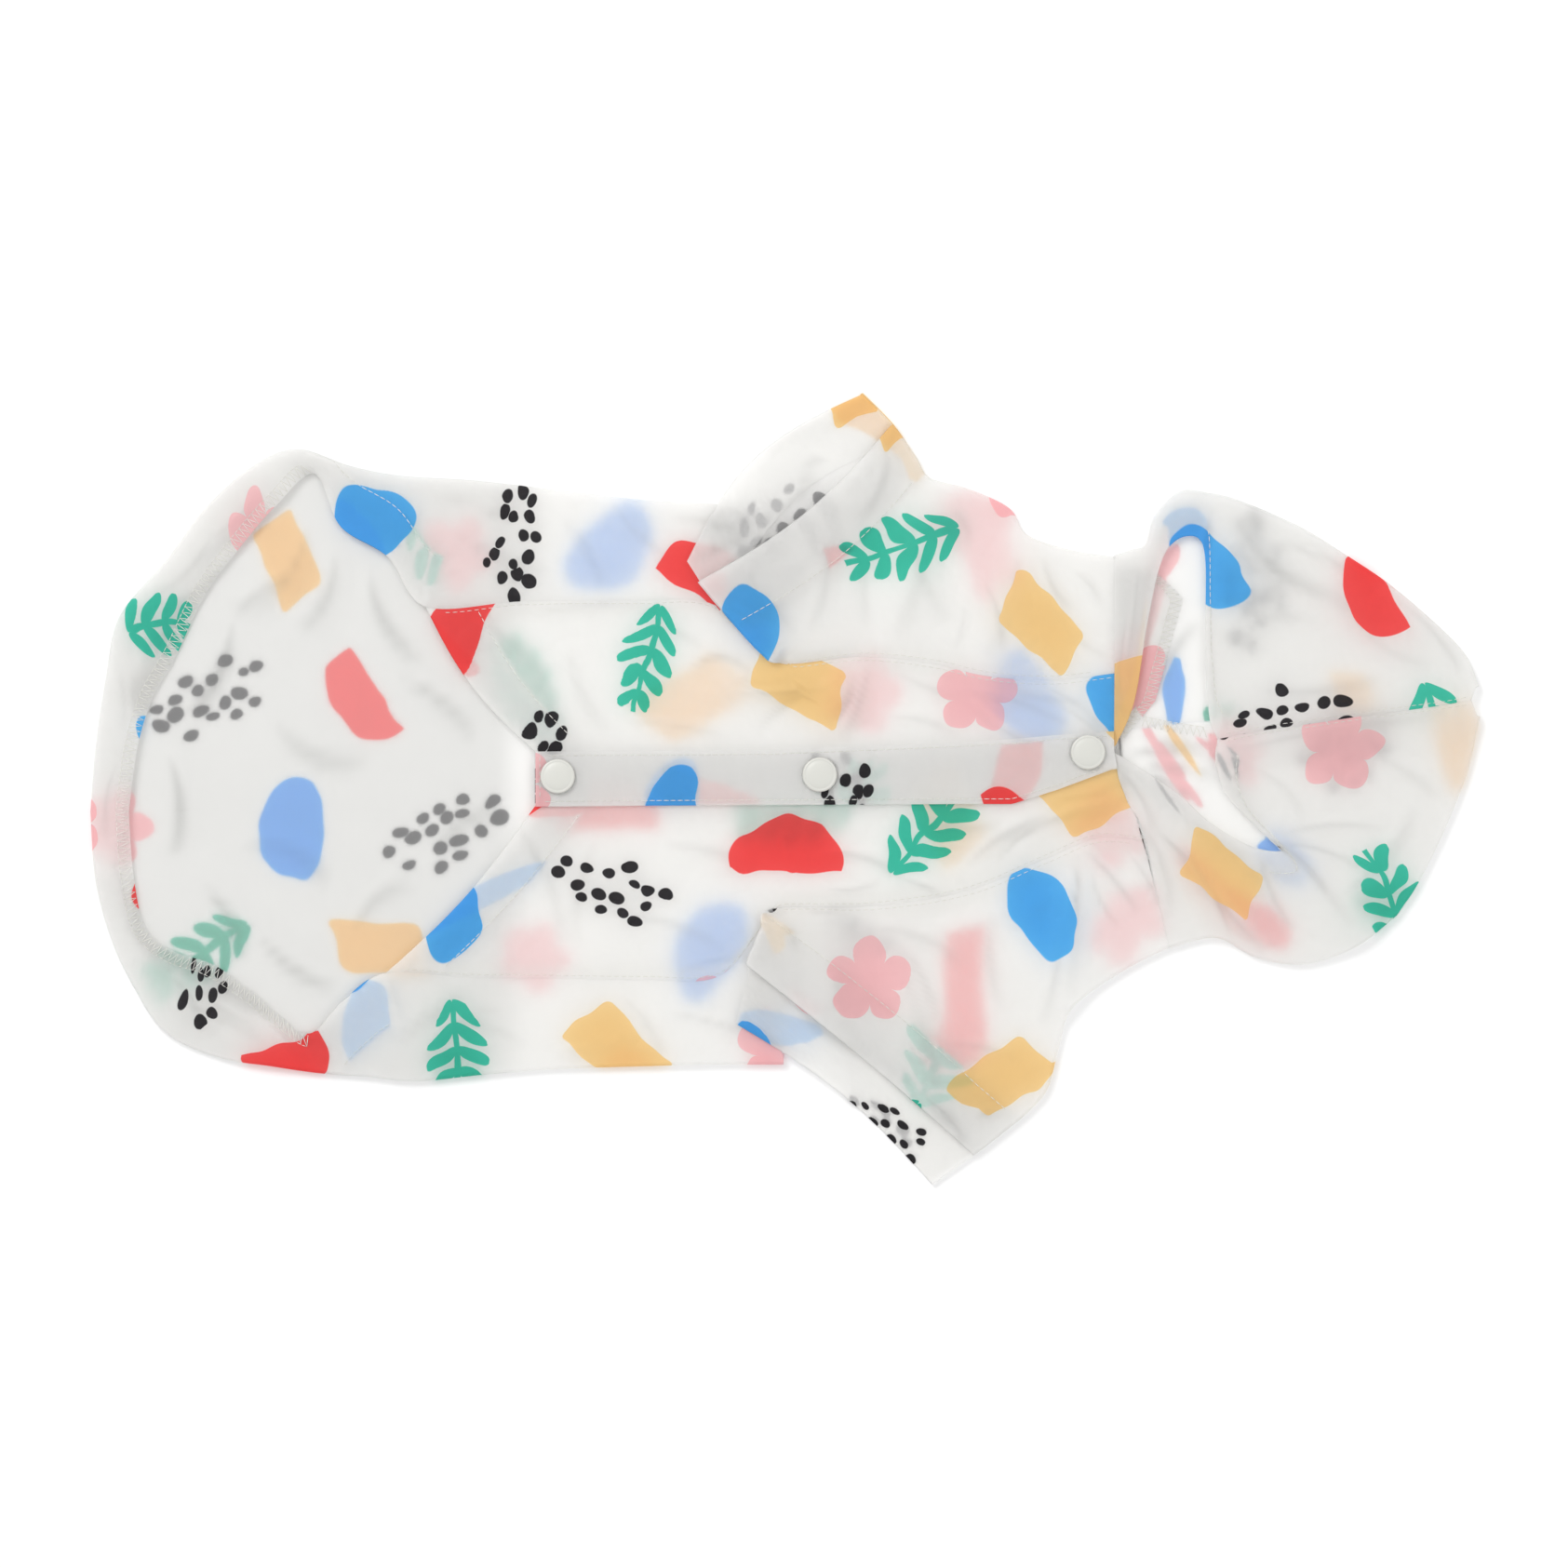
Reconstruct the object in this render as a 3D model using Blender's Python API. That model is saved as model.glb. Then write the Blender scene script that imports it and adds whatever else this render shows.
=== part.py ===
"""Hooded dog shirt lying flat, belly side up, hood towards +X, hem towards -X.

Lengths in the tables are millimetres in plan, x along the back and y across it.
The cloth is a thin wall: a lower layer on the surface, an upper layer over it, and
a round fold joining the two along the outline.
"""
import math

import bpy
from mathutils import Vector

for old in list(bpy.data.objects):
    bpy.data.objects.remove(old, do_unlink=True)

MM = 0.001
CLOTH_WALL = 1.2            # thickness of the cloth wall
LAYER_HEIGHT = 3.6          # two layers and the room between them
SEAM_GAP = 0.3              # room left between neighbouring pieces
SEAM_INSET = 0.25           # each panel stops this far short of its seam line
SLEEVE_LIFT = 4.1           # how high the sleeve lies where it covers the body
ARMHOLE_X = 13.0            # the sleeve comes down between these two places
SLEEVE_DOWN_X = 34.0
SNAP_RADIUS = 6.2
SNAP_HEIGHT = 2.0
STEPS_PER_ROW = 2
FOLD_STEPS = 4
MIDDLE_X = -0.4             # middle of the whole piece, brought to the origin
MIDDLE_Y = 0.05

# largest folds of the upper layer: where each runs, its half width and its height
FOLDS = [
    # x0, y0, x1, y1, half width, height
    (-19.0, 37.0, 15.0, 37.0, 7.0, 1.6),
    (25.0, 42.0, 15.0, 22.0, 7.0, 1.4),
    (108.0, 31.0, 72.0, 38.0, 7.0, 1.2),
    (110.0, -4.0, 72.0, -19.0, 7.0, 1.4),
    (53.0, 97.0, 39.0, 53.0, 9.0, 1.8),
    (84.0, 84.0, 72.0, 46.0, 8.0, 1.5),
    (105.0, -24.0, 101.0, -76.0, 7.0, 2.0),
    (38.0, -53.0, 55.0, -112.0, 9.0, 1.8),
    (160.0, 18.5, 238.0, 29.0, 10.0, 2.0),
    (178.0, -20.0, 203.0, -50.0, 8.0, 2.2),
    (165.0, 84.0, 218.0, 55.0, 10.0, 1.6),
    (130.0, -12.0, 160.0, -48.0, 8.0, 1.8),
    (-182.0, 108.0, -214.0, 80.0, 8.0, 1.6),
    (-236.0, 20.0, -240.0, -30.0, 8.0, 1.6),
    (-214.0, -78.0, -186.0, -92.0, 8.0, 1.4),
    (-140.0, -92.0, -112.0, -72.0, 9.0, 1.2),
]

# neck seam: x of the seam at each y
NECK = [
    # y, x
    (-57.0, 137.6),
    (-48.0, 135.2),
    (-33.5, 132.0),
    (-19.0, 129.2),
    (-13.0, 127.4),
    (-5.0, 122.6),
    (4.0, 119.2),
    (14.0, 117.6),
    (45.0, 117.8),
    (86.0, 117.8),
]

# back panel, one row per section from the rear centre to the armhole
# both halves take the same spine x in each row, so that they join along the spine
BACK_RIGHT = [
    # fold x, y, edge x, y, spine x
    (-250.0, -8.0, -236.0, -8.0, -212.0),
    (-248.0, 16.0, -233.0, 14.5, -208.0),
    (-244.6, 39.0, -228.0, 32.0, -203.0),
    (-239.5, 62.0, -219.5, 47.5, -195.0),
    (-222.0, 83.0, -209.0, 69.5, -186.0),
    (-209.0, 100.5, -196.0, 87.0, -176.0),
    (-192.5, 115.5, -183.0, 102.0, -166.0),
    (-176.0, 122.2, -169.5, 113.2, -154.0),
    (-157.0, 116.2, -160.0, 94.5, -142.0),
    (-138.5, 112.6, -143.0, 83.5, -125.5),
    (-113.5, 111.0, -129.3, 65.5, -108.0),
    (-82.0, 107.5, -95.0, 67.4, -76.0),
    (-52.0, 104.0, -55.0, 67.8, -50.0),
    (-26.5, 102.5, -27.5, 66.8, -25.0),
    (-1.0, 100.0, -3.5, 49.5, -1.0),
]
BACK_LEFT = [
    # fold x, y, edge x, y, spine x
    (-250.0, -8.0, -236.0, -8.0, -212.0),
    (-248.2, -32.5, -234.5, -30.5, -208.0),
    (-242.5, -54.0, -230.5, -49.0, -203.0),
    (-234.0, -72.0, -220.5, -58.0, -195.0),
    (-223.0, -87.5, -206.0, -63.0, -186.0),
    (-203.5, -96.5, -192.5, -72.0, -176.0),
    (-185.5, -99.5, -182.0, -81.0, -166.0),
    (-168.5, -102.0, -171.0, -88.0, -154.0),
    (-150.5, -103.4, -159.0, -76.0, -142.0),
    (-133.0, -105.0, -143.5, -66.0, -125.5),
    (-108.5, -102.6, -115.0, -67.5, -108.0),
    (-82.0, -100.6, -82.0, -68.0, -76.0),
    (-52.0, -99.6, -52.0, -68.5, -50.0),
    (-25.0, -99.0, -25.0, -67.5, -25.0),
    (-1.0, -99.0, -10.0, -51.0, -1.0),
]
HEM_CORNER_ROW = {"right": 10, "left": 9}      # row where the belly panel begins
SPINE_Y = -8.0

# sleeves, one row per section from the neck to the cuff; the last row is the lower
# layer only, which reaches past the upper layer
SLEEVE_RIGHT = [
    # fold x, y, upper edge x, y, lower edge x, y
    (117.6, 83.5, 117.4, 41.5, 117.4, 58.0),
    (102.0, 86.0, 95.0, 39.0, 94.0, 60.0),
    (86.6, 91.4, 72.0, 40.5, 70.0, 62.0),
    (80.0, 101.0, 52.0, 45.0, 46.0, 64.0),
    (65.0, 108.0, 26.5, 47.5, 22.0, 66.0),
    (51.5, 112.0, 0.5, 45.0, 2.0, 68.0),
    (46.5, 119.5, -9.5, 50.0, -7.0, 62.0),
    (38.5, 131.0, -31.0, 74.5, -20.0, 60.0),
    (27.5, 142.3, -34.0, 80.0, -35.5, 81.5),
]
SLEEVE_LEFT = [
    # fold x, y, upper edge x, y, lower edge x, y
    (137.4, -57.0, 129.4, -19.0, 132.0, -34.0),
    (120.0, -66.0, 112.0, -17.5, 108.0, -40.0),
    (103.0, -78.5, 92.0, -25.5, 82.0, -46.0),
    (98.0, -92.5, 65.0, -36.5, 54.0, -53.0),
    (94.0, -107.5, 31.5, -42.0, 26.0, -60.0),
    (87.0, -116.0, -5.0, -43.0, 2.0, -66.0),
    (78.5, -123.0, -9.0, -51.0, -7.0, -61.0),
    (67.5, -131.5, -14.0, -63.0, -14.0, -70.0),
    (52.5, -142.2, -17.0, -70.0, -18.0, -84.0),
]
ARMPIT_ROW = 5
CUFF_ROW = 7
CUFF_CURVE = {"right": (5.0, -9.0), "left": (1.0, 4.0)}   # upper layer, lower layer

# hood, one row per section from its tip to the neck
HOOD_RIGHT = [
    # fold x, y, upper edge x, y, lower edge x, y
    (248.8, 37.0, 245.5, 32.5, 245.5, 31.5),
    (243.5, 49.0, 235.0, 30.5, 235.0, 30.5),
    (230.5, 62.0, 220.5, 28.5, 220.5, 29.5),
    (215.5, 74.5, 203.5, 26.5, 203.5, 28.5),
    (201.0, 84.2, 187.0, 24.0, 187.0, 27.5),
    (187.0, 93.0, 169.5, 21.5, 169.5, 26.0),
    (173.0, 99.6, 154.5, 19.4, 157.0, 25.0),
    (166.0, 102.4, 151.0, 36.0, 149.0, 24.5),
    (159.5, 104.8, 150.5, 58.0, 143.0, 24.0),
    (152.0, 106.4, 150.0, 86.0, 138.0, 23.5),
    (141.5, 107.0, 143.5, 91.0, 134.0, 23.5),
    (132.3, 98.0, 135.5, 84.0, 130.0, 22.5),
    (129.0, 88.0, 130.0, 62.0, 126.0, 22.0),
    (124.0, 86.0, 125.0, 32.0, 122.0, 21.5),
    (118.0, 84.0, 118.0, 15.5, 118.0, 21.0),
]
HOOD_LEFT = [
    # fold x, y, upper edge x, y, lower edge x, y
    (249.2, 26.0, 246.0, 31.5, 246.0, 30.9),
    (247.4, 17.5, 235.0, 29.5, 235.0, 29.9),
    (245.0, 7.0, 220.5, 27.5, 220.5, 28.9),
    (241.2, -3.5, 203.5, 25.0, 203.5, 27.9),
    (236.6, -14.5, 187.0, 22.5, 187.0, 26.9),
    (231.6, -25.2, 169.5, 20.2, 169.5, 25.4),
    (226.0, -35.6, 155.0, 16.5, 157.0, 24.4),
    (221.0, -43.0, 156.8, 0.5, 149.0, 23.9),
    (218.0, -46.5, 169.0, -14.0, 143.0, 23.4),
    (204.0, -57.0, 177.5, -22.0, 138.0, 22.9),
    (186.0, -63.0, 167.0, -20.8, 134.0, 22.9),
    (168.5, -60.4, 152.5, -12.5, 130.0, 21.9),
    (154.5, -53.5, 139.5, -1.0, 126.0, 21.4),
    (138.0, -57.0, 118.0, 13.0, 118.0, 20.4),
]

# snap band down the middle of the belly
BAND = [
    # x, upper y, lower y
    (-90.0, 13.5, -6.0),
    (-48.5, 13.7, -5.6),
    (-6.5, 14.0, -5.4),
    (31.5, 15.5, -5.2),
    (65.0, 17.0, -5.0),
    (81.0, 18.0, -5.0),
    (97.0, 19.4, 0.0),
    (117.4, 20.8, 7.6),
]
SNAPS = {"snap_cap_hem": (-82.0, 4.6), "snap_cap_middle": (12.0, 5.2), "snap_cap_neck": (108.2, 13.2)}


def smooth_step(value):
    value = min(1.0, max(0.0, value))
    return value * value * (3.0 - 2.0 * value)


def rise(x, y):
    """Height the folds add to the upper layer at one place."""
    total = 0.0
    for x0, y0, x1, y1, half, height in FOLDS:
        along_x = x1 - x0
        along_y = y1 - y0
        reach = along_x * along_x + along_y * along_y
        part = ((x - x0) * along_x + (y - y0) * along_y) / reach
        part = min(1.0, max(0.0, part))
        away = math.hypot(x - x0 - part * along_x, y - y0 - part * along_y) / half
        total += height * math.exp(-away * away)
    return min(total, 2.6)


def neck_x(y):
    """The neck seam's x at one y."""
    if y <= NECK[0][0]:
        return NECK[0][1]
    for (y0, x0), (y1, x1) in zip(NECK, NECK[1:]):
        if y <= y1:
            return x0 + (x1 - x0) * (y - y0) / (y1 - y0)
    return NECK[-1][1]


def spread(rows, steps):
    """Rows of a table with smooth ones added between them."""
    full = []
    last = len(rows) - 1
    for k in range(last):
        before = rows[max(0, k - 1)]
        after = rows[min(last, k + 2)]
        for s in range(steps):
            t = s / steps
            row = []
            for a, b, c, d in zip(before, rows[k], rows[k + 1], after):
                bend = 2 * b + (c - a) * t
                bend += (2 * a - 5 * b + 4 * c - d) * t * t
                bend += (3 * b - a - 3 * c + d) * t * t * t
                row.append(0.5 * bend)
            full.append(tuple(row))
    full.append(tuple(rows[last]))
    return full


def toward(start, end, distance):
    """A point moved a set distance from one plan point towards another."""
    way = Vector(end) - Vector(start)
    if way.length < 1e-6:
        return Vector(start)
    return Vector(start) + way.normalized() * distance


def inward(folds, k, inside):
    """Unit plan vector across the outline at row k, pointing at the inside."""
    ahead = Vector(folds[min(k + 1, len(folds) - 1)])
    behind = Vector(folds[max(k - 1, 0)])
    run = (ahead - behind).normalized()
    across = Vector((-run.y, run.x))
    if across.dot(Vector(inside) - Vector(folds[k])) < 0:
        across = -across
    return across


def bowed(start, end, count, bow):
    """Plan points from start to end with the middle pushed sideways."""
    start = Vector(start)
    end = Vector(end)
    way = end - start
    side = Vector((-way.y, way.x))
    if side.length > 1e-6:
        side.normalize()
    return [start + way * (i / count) + side * bow * math.sin(math.pi * i / count) for i in range(count + 1)]


def section(upper, folds, k, lower, base, counts, bows=(0.0, 0.0)):
    """One section of a folded piece: upper edge, round the fold, lower edge.

    base gives the height the section stands on.  The points lie on the outside.
    """
    fold = Vector(folds[k])
    inside = (Vector(upper) + Vector(lower)) * 0.5
    across = inward(folds, k, inside)
    radius = LAYER_HEIGHT * 0.5
    turn = fold + across * radius
    start = toward(upper, turn, SEAM_INSET)
    end = toward(lower, turn, SEAM_INSET)
    points = []
    for spot in bowed(start, turn, counts[0], bows[0]):
        points.append((spot.x, spot.y, base(spot.x, spot.y) + LAYER_HEIGHT + rise(spot.x, spot.y)))
    floor = base(turn.x, turn.y)
    tall = LAYER_HEIGHT + rise(turn.x, turn.y)
    for step in range(1, FOLD_STEPS):
        angle = math.pi * step / FOLD_STEPS
        spot = turn - across * (radius * math.sin(angle))
        points.append((spot.x, spot.y, floor + tall * 0.5 * (1.0 + math.cos(angle))))
    for spot in bowed(turn, end, counts[1], bows[1]):
        points.append((spot.x, spot.y, base(spot.x, spot.y)))
    return points


def cloth(name, rows, wall=CLOTH_WALL):
    """A closed wall from rows of outside points; None leaves a place empty."""
    spots = {}
    outside = []

    def number(point):
        key = tuple(round(value, 4) for value in point)
        if key not in spots:
            spots[key] = len(outside)
            outside.append(Vector(point))
        return spots[key]

    grid = [[None if point is None else number(point) for point in row] for row in rows]
    faces = []
    for low, high in zip(grid, grid[1:]):
        for k in range(len(low) - 1):
            ring = [low[k], low[k + 1], high[k + 1], high[k]]
            if None in ring:
                continue
            ring = [n for i, n in enumerate(ring) if n != ring[i - 1]]
            if len(ring) > 2:
                faces.append(ring)
    normals = [Vector((0.0, 0.0, 0.0)) for _ in outside]
    for ring in faces:
        corners = [outside[n] for n in ring]
        if len(corners) == 4:
            lean = (corners[2] - corners[0]).cross(corners[3] - corners[1])
        else:
            lean = (corners[1] - corners[0]).cross(corners[2] - corners[0])
        for n in ring:
            normals[n] += lean.normalized()
    count = len(outside)
    inside = []
    for point, normal in zip(outside, normals):
        inside.append(point - normal.normalized() * wall)
    borders = {}
    for ring in faces:
        for i, n in enumerate(ring):
            borders[(ring[i - 1], n)] = True
    solid = [list(ring) for ring in faces]
    solid += [[n + count for n in reversed(ring)] for ring in faces]
    for a, b in borders:
        if (b, a) not in borders:
            solid.append([b, a, a + count, b + count])
    mesh = bpy.data.meshes.new(name)
    middle = Vector((MIDDLE_X, MIDDLE_Y, 0.0))
    mesh.from_pydata([tuple((point - middle) * MM) for point in outside + inside], [], solid)
    mesh.update()
    item = bpy.data.objects.new(name, mesh)
    bpy.context.scene.collection.objects.link(item)
    return item


def face_up(rows):
    """Rows in the order that makes the outside face up on the upper layer."""
    for first, second in zip(rows, rows[1:]):
        if first[0] is not None and second[0] is not None:
            a = Vector(first[0])
            across = Vector(first[1]) - a
            along = Vector(second[0]) - a
            if across.length > 0.5 and along.length > 0.5:
                if across.cross(along).z < 0:
                    return list(reversed(rows))
                return rows
    return rows


def flat_base(x, y):
    return 0.0


def sleeve_base(side):
    """Height under a sleeve: on the body near the armpit, on the surface beyond it."""
    sign = 1.0 if side == "right" else -1.0
    edge = 112.0 if side == "right" else 109.0

    def height(x, y):
        along = smooth_step((SLEEVE_DOWN_X - x) / (SLEEVE_DOWN_X - ARMHOLE_X))
        out = smooth_step((edge + 14.0 - sign * y) / 14.0)
        return SLEEVE_LIFT * along * out

    return height


sleeve_rows = {"right": spread(SLEEVE_RIGHT, STEPS_PER_ROW), "left": spread(SLEEVE_LEFT, STEPS_PER_ROW)}
back_rows = {"right": spread(BACK_RIGHT, STEPS_PER_ROW), "left": spread(BACK_LEFT, STEPS_PER_ROW)}
hood_rows = {"right": spread(HOOD_RIGHT, STEPS_PER_ROW), "left": spread(HOOD_LEFT, STEPS_PER_ROW)}
armpit = ARMPIT_ROW * STEPS_PER_ROW
cuff = CUFF_ROW * STEPS_PER_ROW


def snap_to_neck(points, shift):
    """The end section of a piece laid along the neck seam."""
    return [(neck_x(point[1]) + shift, point[1], point[2]) for point in points]


# back panel with its sides and rear rim turned over onto the upper side
def back_half(side):
    rows = back_rows[side]
    folds = [row[0:2] for row in rows]
    built = []
    for k, row in enumerate(rows):
        spine = (row[4], SPINE_Y)
        points = section(row[2:4], folds, k, spine, flat_base, (2, 5))
        if k == 0:
            points = rear_section(row)
        points[-1] = (row[4], SPINE_Y, 0.0)
        built.append(points)
    arc_end = 2 + FOLD_STEPS
    last_spine = rows[-1][4]
    shoulder = list(reversed(sleeve_rows[side][0:armpit]))
    for k, row in enumerate(shoulder):
        share = (k + 1) / len(shoulder)
        spine_x = last_spine + (neck_x(SPINE_Y) - last_spine) * share
        start = toward(row[4:6], (spine_x, SPINE_Y), SEAM_INSET)
        points = [(spot.x, spot.y, 0.0) for spot in bowed(start, (spine_x, SPINE_Y), 5, 0.0)]
        if k == len(shoulder) - 1:
            points = snap_to_neck(points, -2.4 * SEAM_INSET)
        built.append([None] * arc_end + points)
    return built


def rear_section(row):
    """The middle section at the rear, straight along the spine."""
    folds = [(row[0], row[1] - 1.0), (row[0], row[1]), (row[0], row[1] + 1.0)]
    return section(row[2:4], folds, 1, (row[4], SPINE_Y), flat_base, (2, 5))


right_half = back_half("right")
left_half = back_half("left")
cloth("back_panel", face_up(list(reversed(right_half)) + left_half[1:]))


# sleeves
def sleeve(side, name):
    rows = sleeve_rows[side]
    folds = [row[0:2] for row in rows]
    base = sleeve_base(side)
    built = []
    upper_steps = 4
    turn = 1.0 if side == "right" else -1.0
    for k, row in enumerate(rows):
        share = max(0.0, (k - armpit) / (cuff - armpit))
        upper_bow = -CUFF_CURVE[side][0] * min(1.0, share) * turn
        lower_bow = CUFF_CURVE[side][1] * max(0.0, share - 0.4) * turn
        points = section(row[2:4], folds, k, row[4:6], base, (upper_steps, 4), (upper_bow, lower_bow))
        if k == 0:
            points = snap_to_neck(points, -SEAM_INSET)
        if k > cuff:
            hidden = upper_steps + FOLD_STEPS // 2
            points = [None] * hidden + points[hidden:]
        built.append(points)
    return cloth(name, face_up(built))


sleeve("right", "sleeve_right")
sleeve("left", "sleeve_left")


# hood halves, joined along the middle of the head
def hood(side, name):
    rows = hood_rows[side]
    folds = [row[0:2] for row in rows]
    built = []
    for k, row in enumerate(rows):
        points = section(row[2:4], folds, k, row[4:6], flat_base, (5, 4))
        if k == len(rows) - 1:
            points = snap_to_neck(points, SEAM_INSET)
        built.append(points)
    return cloth(name, face_up(built))


hood("right", "hood_right")
hood("left", "hood_left")


# belly panels
def band_at(x):
    """Upper and lower edge of the snap band at one x."""
    for low, high in zip(BAND, BAND[1:]):
        if x <= high[0]:
            t = max(0.0, (x - low[0]) / (high[0] - low[0]))
            return low[1] + (high[1] - low[1]) * t, low[2] + (high[2] - low[2]) * t
    return BAND[-1][1], BAND[-1][2]


def seam_line(side):
    """Outer edge of a belly panel: side seam, then the sleeve seam up to the neck."""
    start = HEM_CORNER_ROW[side] * STEPS_PER_ROW
    line = [row[2:4] for row in back_rows[side][start:]]
    line += [row[2:4] for row in reversed(sleeve_rows[side][0:armpit + 1])]
    return line


def upper_point(x, y, lift=0.0):
    return (x, y, LAYER_HEIGHT + rise(x, y) + lift)


right_line = seam_line("right")
first_x = right_line[0][0]
reach_x = right_line[-1][0] - first_x
belly_right = []
band_grid = []
for k, outer in enumerate(right_line):
    station = BAND[0][0] + (BAND[-1][0] - BAND[0][0]) * (outer[0] - first_x) / reach_x
    high, low = band_at(station)
    start = toward(outer, (station, high), SEAM_INSET)
    bow = -4.0 * max(0.0, 1.0 - k / 3.0)
    spots = [(spot.x, spot.y) for spot in bowed(start, (station, high), 5, bow)]
    spots += [(station, (high + low) * 0.5), (station, low + SEAM_INSET)]
    if k == len(right_line) - 1:
        spots = [(neck_x(spot[1]) - SEAM_INSET, spot[1]) for spot in spots]
    belly_right.append([upper_point(*spot) for spot in spots])
    band_grid.append([upper_point(*spot, SEAM_GAP + CLOTH_WALL) for spot in spots[-3:]])
cloth("belly_panel_right", face_up(belly_right))
cloth("snap_band", face_up(band_grid))

left_line = seam_line("left")
first_x = left_line[0][0]
reach_x = left_line[-1][0] - first_x
belly_left = []
for k, outer in enumerate(left_line):
    station = BAND[0][0] + (BAND[-1][0] - BAND[0][0]) * (outer[0] - first_x) / reach_x
    low = band_at(station)[1] - SEAM_INSET
    start = toward(outer, (station, low), SEAM_INSET)
    bow = 3.0 * max(0.0, 1.0 - k / 3.0)
    spots = [(spot.x, spot.y) for spot in bowed((station, low), start, 6, bow)]
    if k == len(left_line) - 1:
        spots = [(neck_x(spot[1]) - SEAM_INSET, spot[1]) for spot in spots]
    belly_left.append([upper_point(*spot) for spot in spots])
cloth("belly_panel_left", face_up(belly_left))


# snap caps
def snap_cap(name, x, y):
    """A low round cap with a domed top, turned about its own axis."""
    seat = max(rise(x + dx, y + dy) for dx in (-5.0, 0.0, 5.0) for dy in (-5.0, 0.0, 5.0))
    foot = LAYER_HEIGHT + CLOTH_WALL + 2 * SEAM_GAP + seat + 0.05
    profile = [
        # radius share, height share
        (1.0, 0.0),
        (1.0, 0.45),
        (0.93, 0.78),
        (0.6, 0.95),
    ]
    around = 28
    points = [(x, y, foot)]
    for radius, height in profile:
        for k in range(around):
            angle = 2 * math.pi * k / around
            px = x + SNAP_RADIUS * radius * math.cos(angle)
            py = y + SNAP_RADIUS * radius * math.sin(angle)
            points.append((px, py, foot + SNAP_HEIGHT * height))
    points.append((x, y, foot + SNAP_HEIGHT))
    faces = []
    for k in range(around):
        faces.append((0, 1 + (k + 1) % around, 1 + k))
        for ring in range(len(profile) - 1):
            low = 1 + ring * around
            high = low + around
            faces.append((low + k, low + (k + 1) % around, high + (k + 1) % around, high + k))
        top = 1 + (len(profile) - 1) * around
        faces.append((top + k, top + (k + 1) % around, len(points) - 1))
    mesh = bpy.data.meshes.new(name)
    mesh.from_pydata([((a - MIDDLE_X) * MM, (b - MIDDLE_Y) * MM, c * MM) for a, b, c in points], [], faces)
    mesh.update()
    item = bpy.data.objects.new(name, mesh)
    bpy.context.scene.collection.objects.link(item)


for cap_name, (cap_x, cap_y) in SNAPS.items():
    snap_cap(cap_name, cap_x, cap_y)


# materials
LOOKS = {
    # node: colour, roughness
    "back_panel": ((0.93, 0.93, 0.92, 1.0), 0.55),
    "belly_panel_right": ((0.92, 0.93, 0.93, 1.0), 0.55),
    "belly_panel_left": ((0.92, 0.92, 0.93, 1.0), 0.55),
    "sleeve_right": ((0.91, 0.91, 0.90, 1.0), 0.55),
    "sleeve_left": ((0.91, 0.90, 0.91, 1.0), 0.55),
    "hood_right": ((0.90, 0.91, 0.90, 1.0), 0.55),
    "hood_left": ((0.90, 0.90, 0.91, 1.0), 0.55),
    "snap_band": ((0.88, 0.88, 0.86, 1.0), 0.55),
    "snap_cap_hem": ((0.95, 0.95, 0.94, 1.0), 0.4),
    "snap_cap_middle": ((0.95, 0.95, 0.93, 1.0), 0.4),
    "snap_cap_neck": ((0.95, 0.94, 0.94, 1.0), 0.4),
}
for node, (colour, rough) in LOOKS.items():
    look = bpy.data.materials.new(node)
    look.use_nodes = True
    shader = look.node_tree.nodes["Principled BSDF"]
    shader.inputs["Base Color"].default_value = colour
    shader.inputs["Roughness"].default_value = rough
    shader.inputs["Metallic"].default_value = 0.0
    bpy.data.objects[node].data.materials.append(look)
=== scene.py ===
# Hooded dog shirt of thin frosted cloth, lying flat with its belly side up.
# Plan lengths are millimetres, x from the hem to the hood; the meshes are made in metres.
import math
import random

import bpy
import numpy as np
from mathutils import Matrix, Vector


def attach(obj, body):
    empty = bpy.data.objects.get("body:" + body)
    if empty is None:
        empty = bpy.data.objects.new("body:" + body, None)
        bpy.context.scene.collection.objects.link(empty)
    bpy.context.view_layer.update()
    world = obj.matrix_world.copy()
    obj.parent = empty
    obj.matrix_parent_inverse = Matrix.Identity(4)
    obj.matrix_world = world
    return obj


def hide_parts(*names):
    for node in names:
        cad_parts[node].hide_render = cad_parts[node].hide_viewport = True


print("shirt: loading the packed model")
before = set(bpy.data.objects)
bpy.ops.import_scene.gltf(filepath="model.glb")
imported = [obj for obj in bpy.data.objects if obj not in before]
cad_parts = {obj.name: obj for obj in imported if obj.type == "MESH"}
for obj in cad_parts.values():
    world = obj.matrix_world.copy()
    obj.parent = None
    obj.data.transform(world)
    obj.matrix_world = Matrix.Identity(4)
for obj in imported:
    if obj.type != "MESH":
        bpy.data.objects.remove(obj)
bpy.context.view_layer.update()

shirt = {
    "layerHeight": 2.9,     # outside of the upper layer above the surface
    "clothThick": 0.22,
    "openEnd": -92.0,
    # painted shade on the lower layer in the rear opening
    "openShade": 0.85,
    "rowSteps": 14,         # mesh rows for each row of a table
    "foldSteps": 8,
    "middleX": -0.4,
    "middleY": 0.05,
    "hemGap": 0.45,         # a turned hem lies this far inside the cloth it is turned from
    "mostRise": 2.6,        # most that the folds add to the upper layer
    "mostBed": 1.5,
}

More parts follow.
